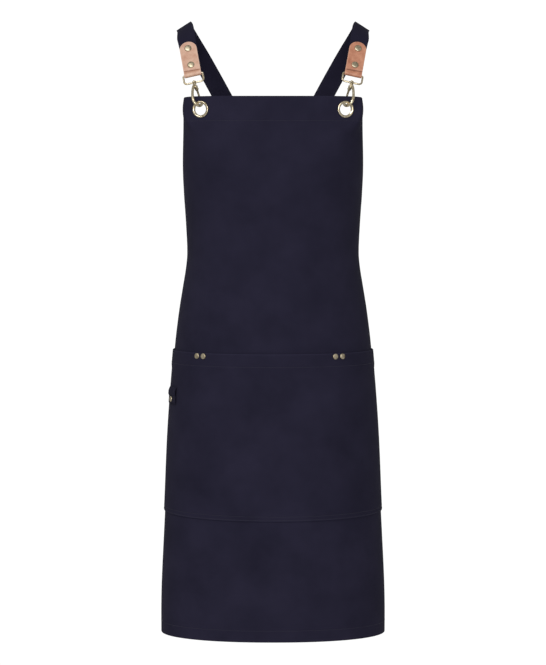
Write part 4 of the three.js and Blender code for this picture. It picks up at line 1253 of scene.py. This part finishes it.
def gate(name):
    """The lever's outline is extruded through its thickness and its edges are rounded."""
    (u, w), (tip_u, tip_w) = GATE_PIVOT, GATE_TIP
    taper = tip_w - 0.3 * (tip_w - w)
    outline = [(u - 0.9 * GATE_HUB, w), (u + 0.9 * GATE_HUB, w), (tip_u + GATE_HALF, taper),
               (tip_u + GATE_HALF, tip_w), (tip_u - GATE_HALF, tip_w), (tip_u - 1.6 * GATE_HALF, taper)]
    points = [(x, y, -GATE_THICK / 2) for x, y in outline]
    piece = mesh_piece(name, points, [list(range(len(points)))], gate_brass)
    with all_of_it_in_edit_mode(piece):
        bpy.ops.mesh.extrude_region_move(TRANSFORM_OT_translate={"value": (0, 0, GATE_THICK * MM)})
        bpy.ops.mesh.select_all(action="SELECT")
        bpy.ops.mesh.normals_make_consistent(inside=False)
        bpy.ops.mesh.bevel(offset=GATE_EDGE * MM, segments=3, affect="EDGES")
    boolean(piece, pin(name + "_hub", GATE_HUB, GATE_THICK, GATE_PIVOT, material=gate_brass), "UNION")
    boolean(piece, pin(name + "_bore", PIN_RADIUS + PIN_RUN, 3 * GATE_THICK, GATE_PIVOT, 0.01), "DIFFERENCE")
    return smoothed(piece, SHARP)


def strap_loop(name):
    """A rectangle of wire with tight corners above and wide ones below, and the swivel's eye."""
    half = TAB_WIDTH / 2 + LOOP_PLAY + LOOP_WIRE
    low, high = (LOW_CORNER, LOW_CORNER), (LOOP_BAR_HEIGHT - TOP_CORNER, TOP_CORNER)
    ring = []
    for side, (y, radius), start in ((1, low, -90), (1, high, 0), (-1, high, 90), (-1, low, 180)):
        ring += [(*point, 0) for point in corner((side * (half - radius), y), radius, start, start + 90, 9)]
    piece = bar_along(name, ring, LOOP_WIRE, closed=True)
    boolean(piece, pin(name + "_boss", EYE_RADIUS, 2 * EYE_HALF, edge=EYE_EDGE, axis=UPWARD), "UNION")
    bore = turned(name + "_bore", [(EYE_BORE, -3 * EYE_HALF), (EYE_BORE, 3 * EYE_HALF)], pale_brass, 32)
    boolean(piece, lying(bore, (0, 0, 0), UPWARD), "DIFFERENCE")
    return smoothed(piece, SHARP)


def mirrored(piece):
    piece.data.transform(Matrix.Scale(-1, 4, (1, 0, 0)))
    piece.data.flip_normals()
    return piece


def both_sides(piece, frame_mm, body, slot, node):
    """Puts a piece in its frame on the left, and its mirror image on the right."""
    piece.data.transform(as_matrix(frame_mm))
    twin = piece.copy()
    twin.data = piece.data.copy()
    twin.name = twin.data.name = piece.name.replace("left", "right")
    bpy.context.collection.objects.link(twin)
    belongs(piece, body, slot, node)
    belongs(mirrored(twin), body.replace("left", "right"), slot, node.replace("left", "right"))


both_sides(hook("hook_left_brass"), HOOK_FRAME, "apron", "antique_brass", "hook_left")
both_sides(gate("gate_left_brass"), HOOK_FRAME, "gate_left", "dark_brass", "gate_left")
both_sides(strap_loop("strap_loop_left_brass"), TAB_FRAME, "apron", "antique_brass", "strap_loop_left")
for number, above in enumerate(TAB_RIVETS, 1):
    tab_half = STRAP_CLOTH / 2 + SEAT_GAP + LEATHER
    piece = rivet(f"tab_rivet_left_{number}_brass", 2 * tab_half, TAB_CAP_RADIUS)
    piece.data.transform(Matrix.Translation(Vector((0, LOOP_BAR_HEIGHT + above, tab_half)) * MM))
    both_sides(piece, TAB_FRAME, "apron", "dark_brass", f"tab_rivet_left_{number}")
print("hardware done")

# %% [markdown]
# The tab is one strip of leather folded round the loop's upper bar. Its side view is a path: down the front,
# pinched under the strap's end, round the bar and up behind. The strip's two ends are cut round.
# It is paler towards its edges, and the crease above the bar, darkened with painted shade, is not quite
# level.

# %% Leather tabs
TAB_PINCH = ((9, 0.6), (7, 0.25), (5, 0.5), (2.5, 1.6))
CREASE_ABOVE, CREASE_TILT, CREASE_REACH, CREASE_DEPTH = 6.2, 0.8, 1.1, 0.15
# How dark the crease is painted, as painted shade, and how far the paler edge reaches.
CREASE_PAINTED_SHADE, EDGE_REACH = 0.9, 0.9
OPEN_LEATHER = 4


def tab_path():
    """The folded leather's middle line in the plane (outwards, up), from the front end to the back one."""
    out = STRAP_CLOTH / 2 + SEAT_GAP + LEATHER / 2
    front = [(out, TAB_LENGTH), (out, 40), (out, 20), (out, 12.5)]
    front += [(gap + LEATHER / 2, above) for above, gap in TAB_PINCH]
    radius = LOOP_WIRE + SEAT_GAP + LEATHER / 2
    turn = [(radius * math.cos(a), radius * math.sin(a)) for a in np.radians((-10, -40, -65, -90))]
    half = [(x, y, 0) for x, y in front + turn]
    whole = half + [(-x, y, 0) for x, y, _ in half[:-1][::-1]]
    fine = curve_through(whole, np.linspace(0, 1, 600))[:, :2]
    return fine, walked(fine)


def make_tab(name, material):
    path, length = tab_path()
    half = TAB_WIDTH / 2
    lines = (*FOLD_INSETS, OPEN_LEATHER)
    columns = grid_lines(lines, lines, TAB_WIDTH, 9) - half
    short = TAB_END_RADIUS - np.sqrt(TAB_END_RADIUS**2 - columns**2)
    rows = [paler_edge + grid_lines(FOLD_INSETS, FOLD_INSETS, length[-1] - 2 * paler_edge, 150) for paler_edge in short]
    along_path = np.array(rows).T
    n, above = (np.interp(along_path, length, column) for column in path.T)
    tn, ta = (np.interp(along_path, length, column) for column in np.gradient(path, length, axis=0).T)
    size = np.hypot(tn, ta)
    out_n, out_a = -ta / size, tn / size
    nearest = np.minimum(half - np.abs(columns), to_edge(along_path - short, length[-1] - 2 * short))
    x = columns + 0 * along_path
    crease = np.exp(-((above - CREASE_ABOVE + CREASE_TILT * x / half) / CREASE_REACH) ** 2)
    height = LEATHER / 2 - fold_drop(nearest, LEATHER) - CREASE_DEPTH * crease * off_the_edge(nearest)

    def shell(sign):
        local = np.stack([x, LOOP_BAR_HEIGHT + above + sign * out_a * height, n + sign * out_n * height,
                          np.ones_like(x)], axis=-1)
        return (local @ TAB_FRAME.T)[..., :3]

    # Above zero in the crease, which is darkened as painted shade; below zero at the paler edges.
    pale_edge_and_painted_light = CREASE_PAINTED_SHADE * crease - np.exp(-((nearest / EDGE_REACH) ** 2))
    piece = sheet_piece(name, shell(1), shell(-1), x, along_path, material, pale_edge_and_painted_light)
    weld(piece, recalculate=True)
    return piece


left_tab = make_tab("leather_tab_left_hide", left_leather_painted_lit)
right_tab = mirrored(make_tab("leather_tab_right_hide", right_leather_painted_shade))
belongs(left_tab, "apron", "leather", "leather_tab_left")
belongs(right_tab, "apron", "leather", "leather_tab_right")

# %% [markdown]

# %% [markdown]
# The light is a studio's. A white screen glows far behind the apron, and the rest of the room is dimmer, so
# that the brass has something dark to reflect beside the lamps. A wide soft lamp stands high in front on the
# left. Another stands straight in front, a little above the bib, so that its light reaches the straps behind.
# The floor is pale paper under the apron, below what the photograph's frame reaches.

# %% Light and backdrop
FLOOR, FLOOR_SIZE = -1.2, 1.8
DIM_ROOM, GLOWING_SCREEN = 0.5, 1.05
APRON_MIDDLE = (0, 0, -0.3)


def soft_light(name, place, size, watts):
    data = bpy.data.lights.new(name, "AREA")
    data.shape = "RECTANGLE"
    data.size = data.size_y = size
    data.energy = watts
    lamp = linked(name, data)
    lamp.location = place
    lamp.rotation_euler = (Vector(APRON_MIDDLE) - Vector(place)).to_track_quat("-Z", "Y").to_euler()


def studio_room():
    room = bpy.context.scene.world or bpy.data.worlds.new("room")
    bpy.context.scene.world = room
    room.use_nodes = True
    direction = add(room, "ShaderNodeTexCoord").outputs["Generated"]
    axes = add(room, "ShaderNodeSeparateXYZ", Vector=direction)
    glow = add(room, "ShaderNodeMapRange", Value=axes.outputs["Y"], From_Min=0.88, From_Max=0.97,
               To_Min=DIM_ROOM, To_Max=GLOWING_SCREEN)
    background = room.node_tree.nodes["Background"]
    background.inputs["Color"].default_value = (1, 1, 1, 1)
    room.node_tree.links.new(glow.outputs["Result"], background.inputs["Strength"])


def paper_floor():
    deselect()
    bpy.ops.mesh.primitive_plane_add(size=FLOOR_SIZE, location=(0, 0, FLOOR))
    paper = bpy.context.object
    paper.name = "paper_floor"
    bpy.ops.object.transform_apply(location=True)
    white = new_material("pale_paper")
    surface(white, Base_Color=linear("#e9e9e9"), Roughness=0.9, Specular_IOR_Level=0.1)
    paper.data.materials.append(white)
    paper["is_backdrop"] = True


soft_light("key", (-1.6, -2.7, 2.2), 1.6, 62)
soft_light("front", (0.2, -3.5, 0.15), 1.2, 54)
studio_room()
paper_floor()
bpy.context.scene.view_settings.view_transform = "Standard"

# %% Size of the finished object
low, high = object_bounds()
print("finished object from", [round(v, 3) for v in low], "to", [round(v, 3) for v in high])
